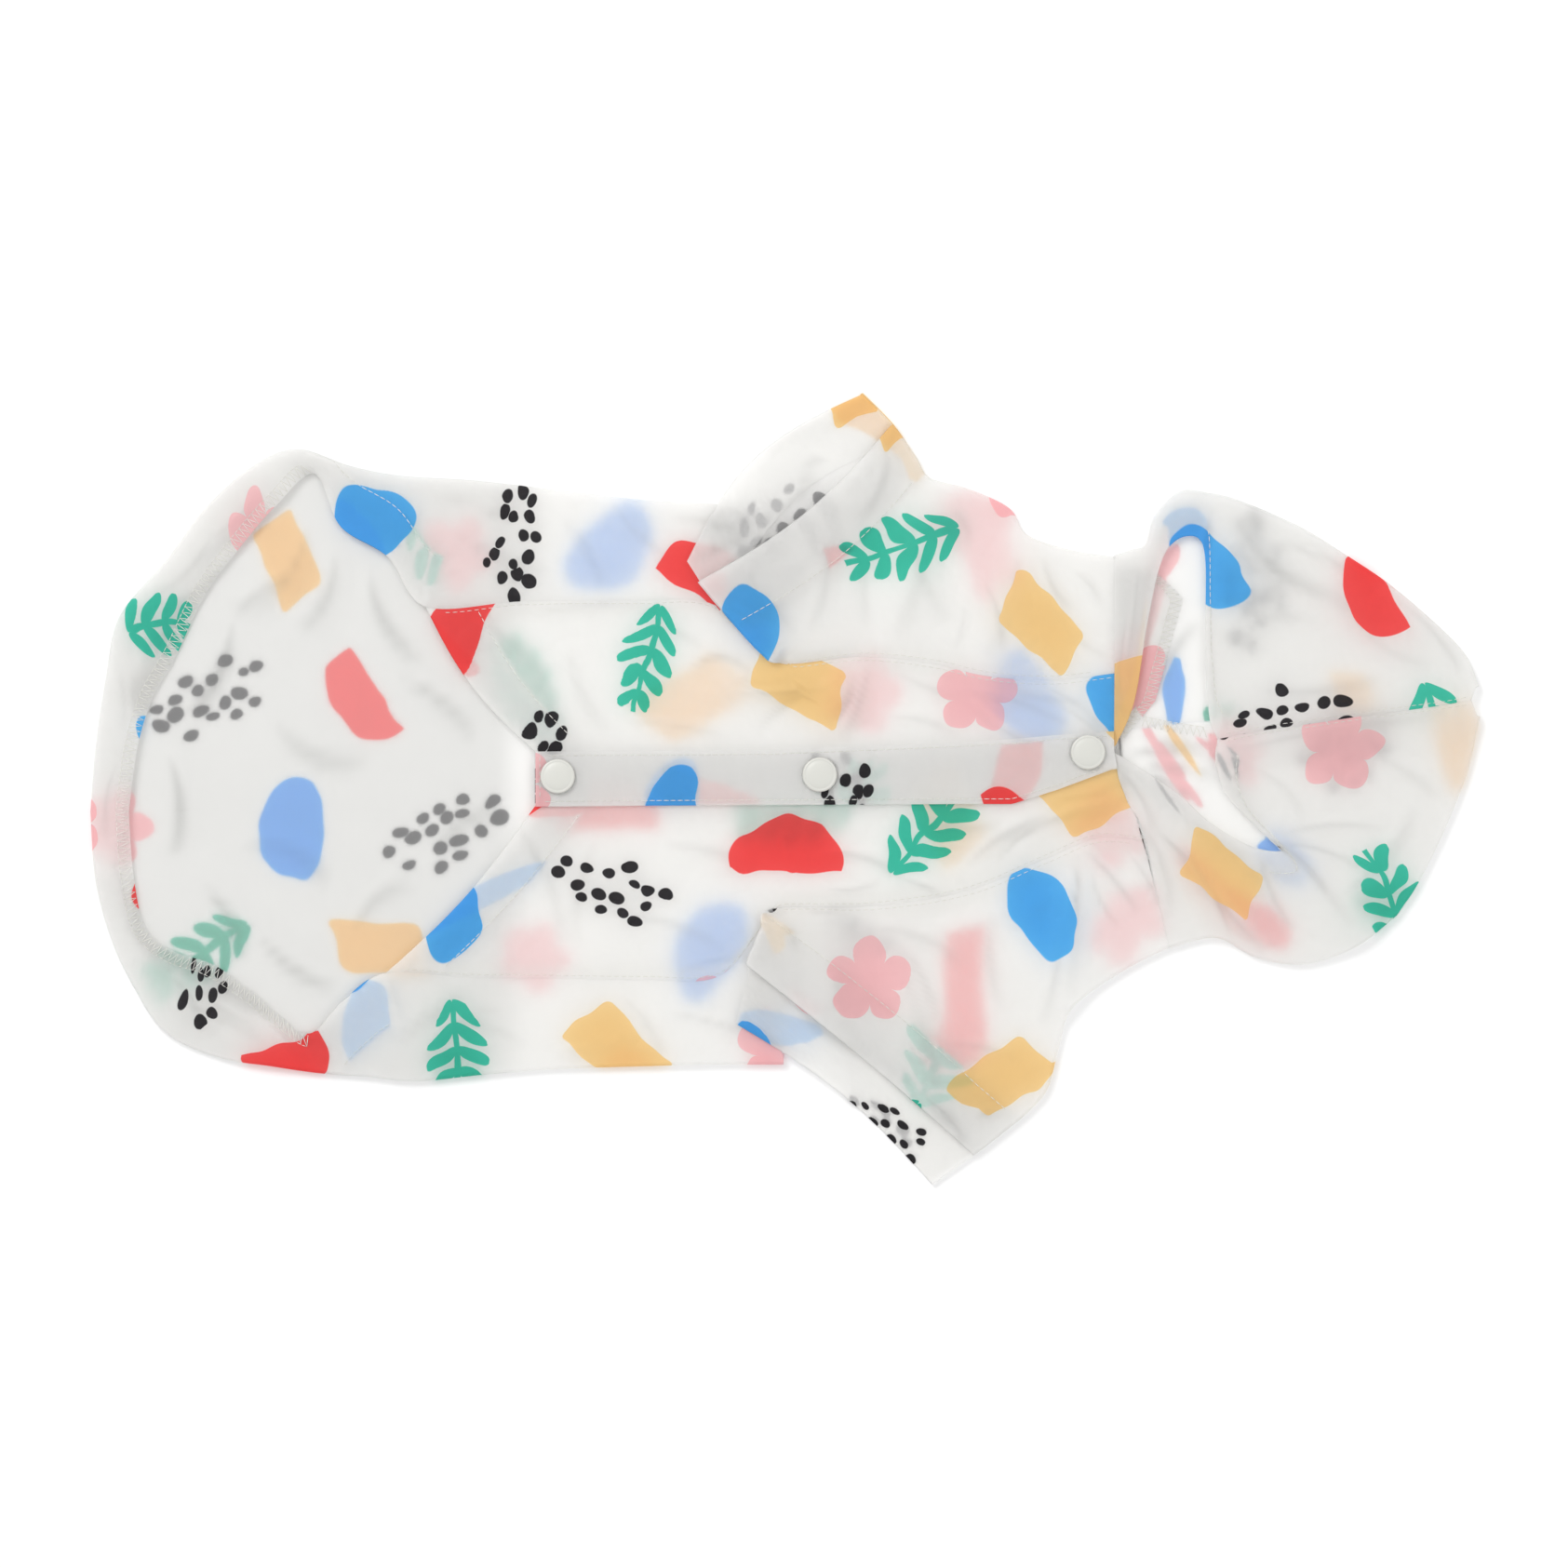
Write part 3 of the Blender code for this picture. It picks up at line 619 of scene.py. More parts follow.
def turnedHem(sheet, width, faces, count=7):
    # the cloth past an edge, turned to the inside; column 0 of the sheet is the edge
    # faces is 1 when the sheet's own order looks at the outside, -1 when at the inside
    normals = sheet.normals() * -faces
    gaps = np.linalg.norm(np.diff(sheet.points, axis=1), axis=2)
    reach = np.concatenate([np.zeros((len(gaps), 1)), np.cumsum(gaps, axis=1)], axis=1)
    wide = np.broadcast_to(np.asarray(width, float), (len(gaps),))
    points, flat = [], []
    for k in range(len(gaps)):
        line, texture, inward, r = sheet.points[k], sheet.flat[k], normals[k], reach[k]
        outward = unit(line[0] - line[2])
        row = [line[0], line[0] + outward * 0.26 + inward[0] * shirt["hemGap"] * 0.5]
        patch = [texture[0], texture[0] + (texture[0] - texture[1]) * 0.1]
        for s in np.linspace(0.03, 1.0, count) * wide[k]:
            spot = np.array([np.interp(s, r, line[:, i]) for i in range(3)])
            face = unit(np.array([np.interp(s, r, inward[:, i]) for i in range(3)]))
            cloth = np.array([np.interp(s, r, texture[:, i]) for i in range(2)])
            row.append(spot + face * shirt["hemGap"])
            patch.append(2 * texture[0] - cloth)
        points.append(row[::-1])
        flat.append(patch[::-1])
    turned = Sheet(points, flat, np.zeros(np.array(points).shape[:2]))
    turned.points[..., 2] = np.maximum(turned.points[..., 2], 0.0)
    return turned if faces > 0 else backwards(turned)


def backwards(sheet):
    return sheet.each(lambda grid: grid[::-1])


def part(sheet, rows=slice(None), columns=slice(None)):
    return sheet.each(lambda grid: grid[rows, columns])


def crosswise(sheet):
    return sheet.each(lambda grid: grid.swapaxes(0, 1))


printLook = {
    "spacing": 60.0,
    "wander": 4.0,
    "wobble": 1.1,
    "kinds": 6,
}


def motifPlaces(low, high, seed):
    # a loose brick layout of motifs over the flat cloth
    dice = random.Random(seed)
    gap = printLook["spacing"]
    wander = printLook["wander"]
    found = []
    columns = range(int(low[0] // gap) - 1, int(high[0] // gap) + 3)
    rows = range(int(low[1] // (gap * 0.8)) - 1, int(high[1] // (gap * 0.8)) + 3)
    for i in columns:
        for j in rows:
            x = (i + 0.5 * (j % 2)) * gap + dice.uniform(-wander, wander)
            y = j * gap * 0.8 + dice.uniform(-wander, wander)
            kind = (i + 2 * j + seed) % printLook["kinds"]
            turn = dice.uniform(0.0, 2 * math.pi)
            size = dice.uniform(0.95, 1.14)
            found.append((x, y, kind, turn, size, dice.uniform(0.0, 40.0)))
    return np.array(found)


def flatBox(flat):
    # sides of the smallest rectangle round a piece of cloth when it is laid flat
    boxes = []
    for degrees in range(0, 180):
        way = np.array([math.cos(math.radians(degrees)), math.sin(math.radians(degrees))])
        along, across = flat @ way, flat @ np.array([-way[1], way[0]])
        boxes.append((along.max() - along.min(), across.max() - across.min()))
    return min(boxes, key=lambda sides: sides[0] * sides[1])


def makeCloth(name, sheets, seed, turn, shift, evenShade=0.0):
    # one mesh from several grids, joined wherever their points meet
    scale = 0.001
    spots, points, faces, corners = {}, [], [], []
    for sheet in sheets:
        rowCount, columnCount = sheet.points.shape[:2]
        ids = np.full((rowCount, columnCount), -1)
        for i in range(rowCount):
            for j in range(columnCount):
                spot = sheet.points[i, j]
                if math.isnan(spot[0]):
                    continue
                key = tuple(np.round(spot, 3))
                if key not in spots:
                    spots[key] = len(points)
                    points.append(spot)
                ids[i, j] = spots[key]
        for i in range(rowCount - 1):
            for j in range(columnCount - 1):
                ring = [(ids[i, j], (i, j)), (ids[i, j + 1], (i, j + 1)),
                        (ids[i + 1, j + 1], (i + 1, j + 1)), (ids[i + 1, j], (i + 1, j))]
                if min(r[0] for r in ring) < 0:
                    continue
                ring = [r for n, r in enumerate(ring) if r[0] != ring[n - 1][0]]
                if len(ring) < 3 or len({r[0] for r in ring}) < len(ring):
                    continue
                faces.append([int(r[0]) for r in ring])
                corners.append([sheet.flat[r[1]] for r in ring])
    middle = np.array([shirt["middleX"], shirt["middleY"], 0.0])
    mesh = bpy.data.meshes.new(name)
    mesh.from_pydata([tuple((p - middle) * scale) for p in points], [], faces)
    mesh.update()
    # the print: every face takes its nearest motif and keeps its own place in it
    flat = np.array([c for ring in corners for c in ring])
    owner = np.repeat(np.arange(len(corners)), [len(ring) for ring in corners])
    cos, sin = math.cos(turn), math.sin(turn)
    laid = np.stack([flat[:, 0] * cos - flat[:, 1] * sin + shift[0],
                     flat[:, 0] * sin + flat[:, 1] * cos + shift[1]], axis=1)
    centres = np.zeros((len(corners), 2))
    np.add.at(centres, owner, laid)
    centres /= np.bincount(owner)[:, None]
    motifs = motifPlaces(laid.min(0), laid.max(0), seed)
    nearest = np.zeros(len(centres), int)
    for start in range(0, len(centres), 4000):
        block = centres[start:start + 4000]
        away = ((block[:, None, :] - motifs[None, :, 0:2]) ** 2).sum(2)
        nearest[start:start + 4000] = away.argmin(1)
    mine = motifs[nearest[owner]]
    wave = printLook["wobble"]
    offset = laid - mine[:, 0:2]
    offset = offset + wave * np.stack([waveRise(laid[:, 0], laid[:, 1], 21, 26.0, 9.0),
                                       waveRise(laid[:, 0], laid[:, 1], 22, 26.0, 9.0)], axis=1)
    c, s = np.cos(mine[:, 3]), np.sin(mine[:, 3])
    local = np.stack([(offset[:, 0] * c + offset[:, 1] * s) / mine[:, 4],
                      (-offset[:, 0] * s + offset[:, 1] * c) / mine[:, 4], mine[:, 5]], axis=1)
    spot = mesh.attributes.new("motifSpot", "FLOAT_VECTOR", "CORNER")
    spot.data.foreach_set("vector", local.astype(np.float32).ravel())
    kind = mesh.attributes.new("motifKind", "FLOAT", "FACE")
    kind.data.foreach_set("value", motifs[nearest, 2].astype(np.float32))
    where = np.array(points)[[n for ring in faces for n in ring]]
    onTop = smooth((where[:, 2] - 1.6) / 0.8)
    # painted shade along the creases of the upper layer and of the lower layer
    upperCreaseShade = paintedShade(where[:, 0], where[:, 1], creases + foldCreases)
    lowerShade = paintedShade(where[:, 0], where[:, 1], innerCreases)
    # painted shade on the one layer that shows in the rear opening
    lowerShade = lowerShade + shirt["openShade"] * smooth((shirt["openEnd"] - where[:, 0]) / 14.0)
    # the painted shade goes on as a corner attribute, and the material darkens the cloth colour by it
    tone = mesh.attributes.new("paintedShade", "FLOAT", "CORNER")
    # an even painted shade for the whole piece, with the painted shade of creases and rear opening added
    paintedShadeTotal = evenShade + upperCreaseShade * onTop + lowerShade * (1.0 - onTop)
    tone.data.foreach_set("value", paintedShadeTotal.astype(np.float32))
    place = mesh.attributes.new("clothPlace", "FLOAT_VECTOR", "CORNER")
    place.data.foreach_set("vector", np.column_stack([laid, np.zeros(len(laid))]).astype(np.float32).ravel())
    mesh.polygons.foreach_set("use_smooth", [True] * len(mesh.polygons))
    item = bpy.data.objects.new(name, mesh)
    bpy.context.scene.collection.objects.link(item)
    mesh.materials.append(bpy.data.materials["printedOutside"])
    mesh.materials.append(bpy.data.materials["plainInside"])
    wall = item.modifiers.new("thickness", "SOLIDIFY")
    wall.thickness = shirt["clothThick"] * scale
    wall.offset = -1.0
    wall.material_offset = 1
    wall.material_offset_rim = 0
    even = item.modifiers.new("evenShading", "WEIGHTED_NORMAL")
    even.weight = 90
    area = sum(p.area for p in mesh.polygons)
    return item, area, flatBox(flat)


print("shirt: cloth, thread and snap finishes")


def addNode(tree, kind, values=None, **settings):
    # a shader node with its settings, and each input given a value or a link
    node = tree.nodes.new("ShaderNode" + kind)
    for setting, value in settings.items():
        setattr(node, setting, value)
    for place, value in (values or {}).items():
        if isinstance(value, bpy.types.NodeSocket):
            tree.links.new(value, node.inputs[place])
        else:
            node.inputs[place].default_value = value
    return node


def nodeMath(tree, operation, *values):
    return addNode(tree, "Math", dict(enumerate(values)), operation=operation).outputs[0]


def fadeEdge(tree, distance, soft=0.14):
    return addNode(tree, "MapRange", {"From Min": soft, "From Max": -soft, "Value": distance}).outputs["Result"]


motifSizes = {
    "oval": (300.0, 110.0),           # half length and half width, squared
    "moon": (324.0, 210.0),
    "bar": (13.5, 6.8, 2.0),          # half length, half width, corner
    "slant": 0.32,
    "petals": (6.6, 7.4),             # reach, and radius of the middle
    "leafPitch": 8.0,
    "leafLean": 0.6,
    "leafHalf": (5.6, 3.0),           # half length and half width
    "leafEnd": 11.0,
    "sprigHalf": 20.0,
    "stem": 1.1,
    "grainSize": (0.13, 0.25),        # spread and least, in cells
}
inkColours = [
    (0.130, 0.530, 0.95),    # blue
    (0.036, 0.033, 0.037),   # black
    (0.98, 0.115, 0.115),    # red
    (0.070, 0.610, 0.460),   # green
    (0.98, 0.73, 0.37),      # orange
    (0.99, 0.64, 0.66),      # pink
]


def printGroup():
    # simple cut-out shapes: oval, bar, half moon, flower, leaf sprig and a patch of grains
    tree = bpy.data.node_groups.new("shirtPrint", "ShaderNodeTree")
    tree.interface.new_socket(name="Ink", in_out="OUTPUT", socket_type="NodeSocketFloat")
    tree.interface.new_socket(name="Colour", in_out="OUTPUT", socket_type="NodeSocketColor")
    out = tree.nodes.new("NodeGroupOutput")
    spot = addNode(tree, "Attribute", attribute_name="motifSpot").outputs["Vector"]
    kind = addNode(tree, "Attribute", attribute_name="motifKind").outputs["Fac"]
    u, v, seed = addNode(tree, "SeparateXYZ", {0: spot}).outputs
    sizes = motifSizes

    def m(operation, *values):
        return nodeMath(tree, operation, *values)

    absU, absV = m("ABSOLUTE", u), m("ABSOLUTE", v)
    uu, vv = m("MULTIPLY", u, u), m("MULTIPLY", v, v)
    radius = m("SQRT", m("ADD", uu, vv))
    # oval, a little bent
    bent = m("MULTIPLY_ADD", uu, -0.011, m("ADD", v, 1.6))
    ovalLong, ovalWide = sizes["oval"]
    ovalR = m("SQRT", m("ADD", m("DIVIDE", uu, ovalLong), m("DIVIDE", m("MULTIPLY", bent, bent), ovalWide)))
    oval = fadeEdge(tree, m("MULTIPLY", m("SUBTRACT", ovalR, 1.0), 10.5))
    # slanted bar with soft corners
    barHalf, barWide, corner = sizes["bar"]
    slant = m("ABSOLUTE", m("MULTIPLY_ADD", v, sizes["slant"], u))
    barU = m("MAXIMUM", m("SUBTRACT", slant, barHalf), 0.0)
    barV = m("MAXIMUM", m("SUBTRACT", absV, barWide), 0.0)
    barLong = m("SQRT", m("ADD", m("MULTIPLY", barU, barU), m("MULTIPLY", barV, barV)))
    bar = fadeEdge(tree, m("SUBTRACT", barLong, corner))
    # half moon
    moonLong, moonWide = sizes["moon"]
    moonR = m("SQRT", m("ADD", m("DIVIDE", uu, moonLong), m("DIVIDE", vv, moonWide)))
    moonD = m("MAXIMUM", m("MULTIPLY", m("SUBTRACT", moonR, 1.0), 15.0), m("SUBTRACT", -3.0, v))
    moon = fadeEdge(tree, moonD)
    # flower of five petals
    angle = m("ARCTAN2", v, u)
    bulge = m("POWER", m("ABSOLUTE", m("COSINE", m("MULTIPLY", angle, 2.5))), 0.55)
    petals = m("MULTIPLY_ADD", bulge, *sizes["petals"])
    flower = fadeEdge(tree, m("SUBTRACT", radius, petals))
    # sprig: stem and pairs of pointed leaves, shorter towards the ends
    pitch = sizes["leafPitch"]
    leafLong, leafWide = sizes["leafHalf"]
    taper = m("MULTIPLY_ADD", uu, 0.0021, 1.0)
    s = m("MULTIPLY", absV, taper)
    lean = m("MULTIPLY_ADD", s, -sizes["leafLean"], u)
    phase = m("ABSOLUTE", m("SUBTRACT", m("WRAP", lean, pitch, 0.0), pitch * 0.5))
    across = m("DIVIDE", m("SUBTRACT", s, leafLong), leafLong)
    wide = m("SQRT", m("MAXIMUM", m("SUBTRACT", 1.0, m("MULTIPLY", across, across)), 0.0))
    leaf = m("MULTIPLY_ADD", wide, -leafWide, phase)
    stem = m("MAXIMUM", m("SUBTRACT", absV, sizes["stem"]), m("SUBTRACT", absU, sizes["sprigHalf"]))
    leaf = m("MAXIMUM", leaf, m("SUBTRACT", s, sizes["leafEnd"]))
    # five whole pairs, with no slice of a sixth at either end
    ends = m("ABSOLUTE", m("ADD", lean, pitch * 0.5))
    leaf = m("MAXIMUM", leaf, m("SUBTRACT", ends, sizes["sprigHalf"]))
    sprig = fadeEdge(tree, m("MINIMUM", leaf, stem))
    # grains: whole spots whose middle lies in an oval patch
    squeezed = addNode(tree, "VectorMath", {0: spot, 1: (0.135, 0.178, 1.0)}, operation="MULTIPLY")
    whole = addNode(tree, "CombineXYZ", {0: m("FLOOR", seed), 2: m("MULTIPLY", seed, -1.0)}).outputs[0]
    flatten = addNode(tree, "VectorMath", {0: squeezed.outputs[0], 1: whole}, operation="ADD")
    cells = addNode(tree, "TexVoronoi", {"Scale": 1.0, "Randomness": 0.62, "Vector": flatten.outputs[0]},
                    voronoi_dimensions="2D", feature="F1")
    tone = addNode(tree, "SeparateColor", {0: cells.outputs["Color"]})
    size = m("MULTIPLY_ADD", tone.outputs[0], *sizes["grainSize"])
    grain = fadeEdge(tree, m("SUBTRACT", cells.outputs["Distance"], size), 0.02)
    where = addNode(tree, "VectorMath", {0: cells.outputs["Position"], 1: whole}, operation="SUBTRACT")
    middle = addNode(tree, "VectorMath", {0: where.outputs[0], 1: (0.36, 0.52, 0.0)}, operation="MULTIPLY")
    length = addNode(tree, "VectorMath", {0: middle.outputs[0]}, operation="LENGTH")
    grains = m("MULTIPLY", grain, m("LESS_THAN", length.outputs["Value"], 1.0))
    total = None
    for number, mask in enumerate((oval, grains, moon, sprig, bar, flower)):
        chosen = m("MULTIPLY", mask, m("COMPARE", kind, float(number), 0.3))
        total = chosen if total is None else m("ADD", total, chosen)
    tree.links.new(total, out.inputs["Ink"])
    count = float(len(inkColours))
    inks = addNode(tree, "ValToRGB", {0: m("DIVIDE", m("ADD", kind, 0.5), count)})
    inks.color_ramp.interpolation = "CONSTANT"
    while len(inks.color_ramp.elements) < len(inkColours):
        inks.color_ramp.elements.new(0.5)
    for number, colour in enumerate(inkColours):
        inks.color_ramp.elements[number].position = number / count
        inks.color_ramp.elements[number].color = (*colour, 1.0)
    tree.links.new(inks.outputs["Color"], out.inputs["Colour"])
    return tree


clothLook = {
    "colour": (0.998, 0.996, 0.990, 1.0),
    "roughness": 0.46,
    "throughCloth": 0.79,    # share of light that goes on through each face
    "throughInk": 0.60,
    "weave": 0.42,           # thread spacing in millimetres
    # painted shade: the grey that the cloth colour is darkened towards, and how far
    "shaded": (0.80, 0.80, 0.79, 1.0),
    "shadeDepth": 0.42,
}


def toneRamp(tree, source, colour, darker, ends=(0.0, 1.0)):
    # from a slightly darker tone of one colour up to the colour itself
    ramp = addNode(tree, "ValToRGB", {0: source})
    ramp.color_ramp.elements[0].position, ramp.color_ramp.elements[1].position = ends
    ramp.color_ramp.elements[0].color = tuple(darker * value for value in colour[:3]) + (1.0,)
    ramp.color_ramp.elements[1].color = colour
    return ramp.outputs["Color"]


def clothFinish(name, group=None):
    # printed with the group on the outside, plain on the inside
    look = bpy.data.materials.new(name)
    look.use_nodes = True
    tree = look.node_tree
    shader = tree.nodes["Principled BSDF"]
    place = addNode(tree, "Attribute", attribute_name="clothPlace").outputs["Vector"]
    # slow changes of tone over the cloth
    mottle = addNode(tree, "TexNoise", {"Scale": 0.035, "Detail": 1.0, "Vector": place}, noise_dimensions="2D")
    tones = toneRamp(tree, mottle.outputs["Fac"], clothLook["colour"], 0.996, (0.3, 0.75))
    # painted shade of the creases, the rear opening and the hood darkens the cloth colour
    shaded = addNode(tree, "Attribute", attribute_name="paintedShade").outputs["Fac"]
    depth = nodeMath(tree, "MULTIPLY", shaded, clothLook["shadeDepth"])
    deepen = addNode(tree, "Mix", {"Factor": depth, "A": tones, "B": clothLook["shaded"]}, data_type="RGBA")
    colour = deepen.outputs["Result"]
    shader.inputs["Roughness"].default_value = clothLook["roughness"]
    shader.inputs["Specular IOR Level"].default_value = 0.32
    through = addNode(tree, "BsdfTranslucent")
    both = addNode(tree, "MixShader", {0: clothLook["throughCloth"], 1: shader.outputs[0], 2: through.outputs[0]})
    tree.links.new(both.outputs[0], tree.nodes["Material Output"].inputs["Surface"])
    if group:
        ink = tree.nodes.new("ShaderNodeGroup")
        ink.node_tree = group
        mask = ink.outputs["Ink"]
        mix = addNode(tree, "Mix", {"Factor": mask, "A": colour, "B": ink.outputs["Colour"]}, data_type="RGBA")
        colour = mix.outputs["Result"]
        share = addNode(tree, "MapRange", {"To Min": clothLook["throughCloth"], "To Max": clothLook["throughInk"],
                                           "Value": mask})
        tree.links.new(share.outputs["Result"], both.inputs[0])
        # weave and slight crinkle
        split = addNode(tree, "SeparateXYZ", {0: place})
        rate = 2 * math.pi / clothLook["weave"]
        warp, weft = (nodeMath(tree, "SINE", nodeMath(tree, "MULTIPLY", split.outputs[k], rate)) for k in (0, 1))
        weave = nodeMath(tree, "MULTIPLY", nodeMath(tree, "MULTIPLY", warp, weft), 0.018)
        crinkle = addNode(tree, "TexNoise", {"Scale": 0.16, "Detail": 1.0, "Vector": place}, noise_dimensions="2D")
        relief = nodeMath(tree, "MULTIPLY_ADD", crinkle.outputs["Fac"], 0.85, weave)
        bump = addNode(tree, "Bump", {"Strength": 0.55, "Distance": 0.001, "Height": relief})
        tree.links.new(bump.outputs["Normal"], shader.inputs["Normal"])
        tree.links.new(bump.outputs["Normal"], through.inputs["Normal"])
    tree.links.new(colour, shader.inputs["Base Color"])
    tree.links.new(colour, through.inputs["Color"])


threadLook = {"colour": (0.86, 0.85, 0.80, 1.0), "roughness": 0.6}
snapLook = {"colour": (0.66, 0.66, 0.615, 1.0), "roughness": 0.38}


def plainFinish(name, look, grainScale, grainDepth, tone):
    material = bpy.data.materials.new(name)
    material.use_nodes = True
    tree = material.node_tree
    shader = tree.nodes["Principled BSDF"]
    shader.inputs["Roughness"].default_value = look["roughness"]
    where = addNode(tree, "TexCoord").outputs["Object"]
    grain = addNode(tree, "TexNoise", {"Scale": grainScale, "Detail": 3.0, "Vector": where}).outputs["Fac"]
    tree.links.new(toneRamp(tree, grain, look["colour"], tone), shader.inputs["Base Color"])
    bump = addNode(tree, "Bump", {"Strength": 0.3, "Distance": grainDepth, "Height": grain})
    tree.links.new(bump.outputs["Normal"], shader.inputs["Normal"])


clothFinish("printedOutside", printGroup())
clothFinish("plainInside")
plainFinish("sewingThread", threadLook, 900.0, 0.0002, 0.9)
plainFinish("snapPlastic", snapLook, 260.0, 0.00005, 0.96)


class Sewing:
    # threads of one piece, gathered into a single mesh
    def __init__(self, name):
        self.name = name
        self.points = []
        self.faces = []

    def tube(self, line, radius, sides=5):
        line = np.array(line, float)
        start = len(self.points)
        last = len(line) - 1
        for k, spot in enumerate(line):
            way = unit(line[min(k + 1, last)] - line[max(k - 1, 0)])
            side = unit(np.cross(way, (0.0, 0.0, 1.0)))
            up = np.cross(side, way)
            wide = radius * (0.55 if k in (0, last) else 1.0)
            for n in range(sides):
                angle = 2 * math.pi * n / sides
                self.points.append(spot + (side * math.cos(angle) + up * math.sin(angle)) * wide)
        for k in range(last):
            for n in range(sides):
                a, b = start + k * sides + n, start + k * sides + (n + 1) % sides
                self.faces.append((a, b, b + sides, a + sides))
        self.faces.append(tuple(start + n for n in reversed(range(sides))))
        self.faces.append(tuple(start + last * sides + n for n in range(sides)))

    def stitches(self, path, pitch=2.5, gap=0.55, radius=0.15):
        # a row of separate stitches, each a little raised in its middle
        count = int(pathLength(path) / pitch)
        for k in range(count):
            a, b = alongPath(path, k * pitch + gap * 0.5), alongPath(path, (k + 1) * pitch - gap * 0.5)
            middle = (a + b) * 0.5 + np.array((0.0, 0.0, radius * 0.8))
            self.tube([a, middle, b], radius)

    def overlock(self, edge, seam, pitch=2.2, radius=0.13):
        # threads running to and fro between the cut edge and the seam, with a line along each
        long = max(pathLength(edge), 1.0)
        count = max(2, int(long / pitch))
        for k in range(count):
            a = alongShare(edge, k / count)
            b = alongShare(seam, (k + 0.5) / count)
            c = alongShare(edge, (k + 1.0) / count)
            self.tube([a, (a + b) * 0.5 + np.array((0.0, 0.0, 0.12)), b], radius)
            self.tube([b, (b + c) * 0.5 + np.array((0.0, 0.0, 0.12)), c], radius)
        self.stitches(seam, 1.9, 0.3, radius)

    def finish(self):
        middle = np.array([shirt["middleX"], shirt["middleY"], 0.0])
        mesh = bpy.data.meshes.new(self.name)
        mesh.from_pydata([tuple((p - middle) * 0.001) for p in self.points], [], self.faces)
        mesh.polygons.foreach_set("use_smooth", [True] * len(mesh.polygons))
        mesh.materials.append(bpy.data.materials["sewingThread"])
        item = bpy.data.objects.new(self.name, mesh)
        bpy.context.scene.collection.objects.link(item)
        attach(item, "root")
        return item


def pathLength(path):
    return float(np.linalg.norm(np.diff(path, axis=0), axis=1).sum())


def alongPath(path, distance):
    gaps = np.linalg.norm(np.diff(path, axis=0), axis=1)
    reach = np.concatenate([[0.0], np.cumsum(gaps)])
    return np.array([np.interp(distance, reach, path[:, i]) for i in range(3)])


def alongShare(path, share):
    return alongPath(path, share * pathLength(path))


def inset(sheet, distance, rows=slice(None), lift=0.12):
    # a line on the sheet, a set distance in from its first column
    points = sheet.points[rows]
    normals = sheet.normals()[rows]
    normals = normals * np.where(normals[..., 2:] < 0, -1.0, 1.0)
    gaps = np.linalg.norm(np.diff(points, axis=1), axis=2)
    reach = np.concatenate([np.zeros((len(gaps), 1)), np.cumsum(gaps, axis=1)], axis=1)
    away = np.broadcast_to(np.asarray(distance, float), (len(points),))
    path = []
    for k in range(len(points)):
        spot = np.array([np.interp(away[k], reach[k], points[k][:, i]) for i in range(3)])
        face = unit(np.array([np.interp(away[k], reach[k], normals[k][:, i]) for i in range(3)]))
        path.append(spot + face * lift)
    return np.array(path)


def turnedRound(sheet):
    return sheet.each(lambda grid: grid[:, ::-1])


def planPath(spots, height, lift=0.12, count=40):
    # a line through plan points at a height worked out for each place
    spots = np.array(spots, float)
    gaps = np.linalg.norm(np.diff(spots, axis=0), axis=1)
    reach = np.concatenate([[0.0], np.cumsum(gaps)])
    at = np.linspace(0.0, reach[-1], count)
    x, y = np.interp(at, reach, spots[:, 0]), np.interp(at, reach, spots[:, 1])
    return np.column_stack([x, y, height(x, y) + lift])


def finishCloth(item, area, node, size, sewing=()):
    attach(item, "root")
    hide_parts(node)
    width, length = sorted(float(value) * 0.001 for value in size)
    pieces = [threads.finish() for threads in sewing]
    area = min(float(area), width * length)


print("shirt: back panel")
backHalves = {}


def backHalf(side):
    rows = backRows[side]
    spine = np.column_stack([rows[:, 4], np.full(len(rows), backPiece["spineY"])])
    table = np.column_stack([rows[:, 0:4], spine])
    sheet = foldedSheet(table, noBase, (14, 30), lambda k: (0.0, 0.0), "lower", True, (1.0, 0.0))
    # the rear rim slopes down towards its inner edge
    rowNumber = np.arange(len(rows)) / steps
    share = smooth((backPiece["rimEndRow"] + 1.2 - rowNumber) / 2.0)
    toward = np.clip(1.0 - np.arange(sheet.points.shape[1]) / 14.0, 0.0, 1.0)
    sheet.points[..., 2] -= backPiece["rimDrop"] * share[:, None] * smooth(toward)[None, :]
    return sheet


def shoulderHalf(side):
    # hidden part of the back between the sleeve seam and the spine
    armpit = sleevePiece["armpitRow"] * steps
    lastSpine = backRows[side][-1, 4]
    lowerEdge = [backRows[side][-1, 0:2]] + list(sleeveRows[side][armpit - 1::-1, 4:6])
    count = len(lowerEdge) - 1
    points, flat = [], []
    for k in range(1, count + 1):
        x = lastSpine + (neckX(backPiece["spineY"]) - lastSpine) * k / count
        line = straight(np.array(lowerEdge[k]), np.array([x, backPiece["spineY"]]), 30)
        if k == count:
            line[:, 0] = neckX(line[:, 1]) - 0.3
        low = 0.1 + 0.08 * waveRise(line[:, 0], line[:, 1], 8, 40.0, 10.0)
        fade = np.minimum(1.0, np.arange(31)[::-1] / 6.0)
        points.append(np.column_stack([line, np.clip(low, 0, 1) * fade]))
        flat.append(line)
    return np.array(points), np.array(flat)


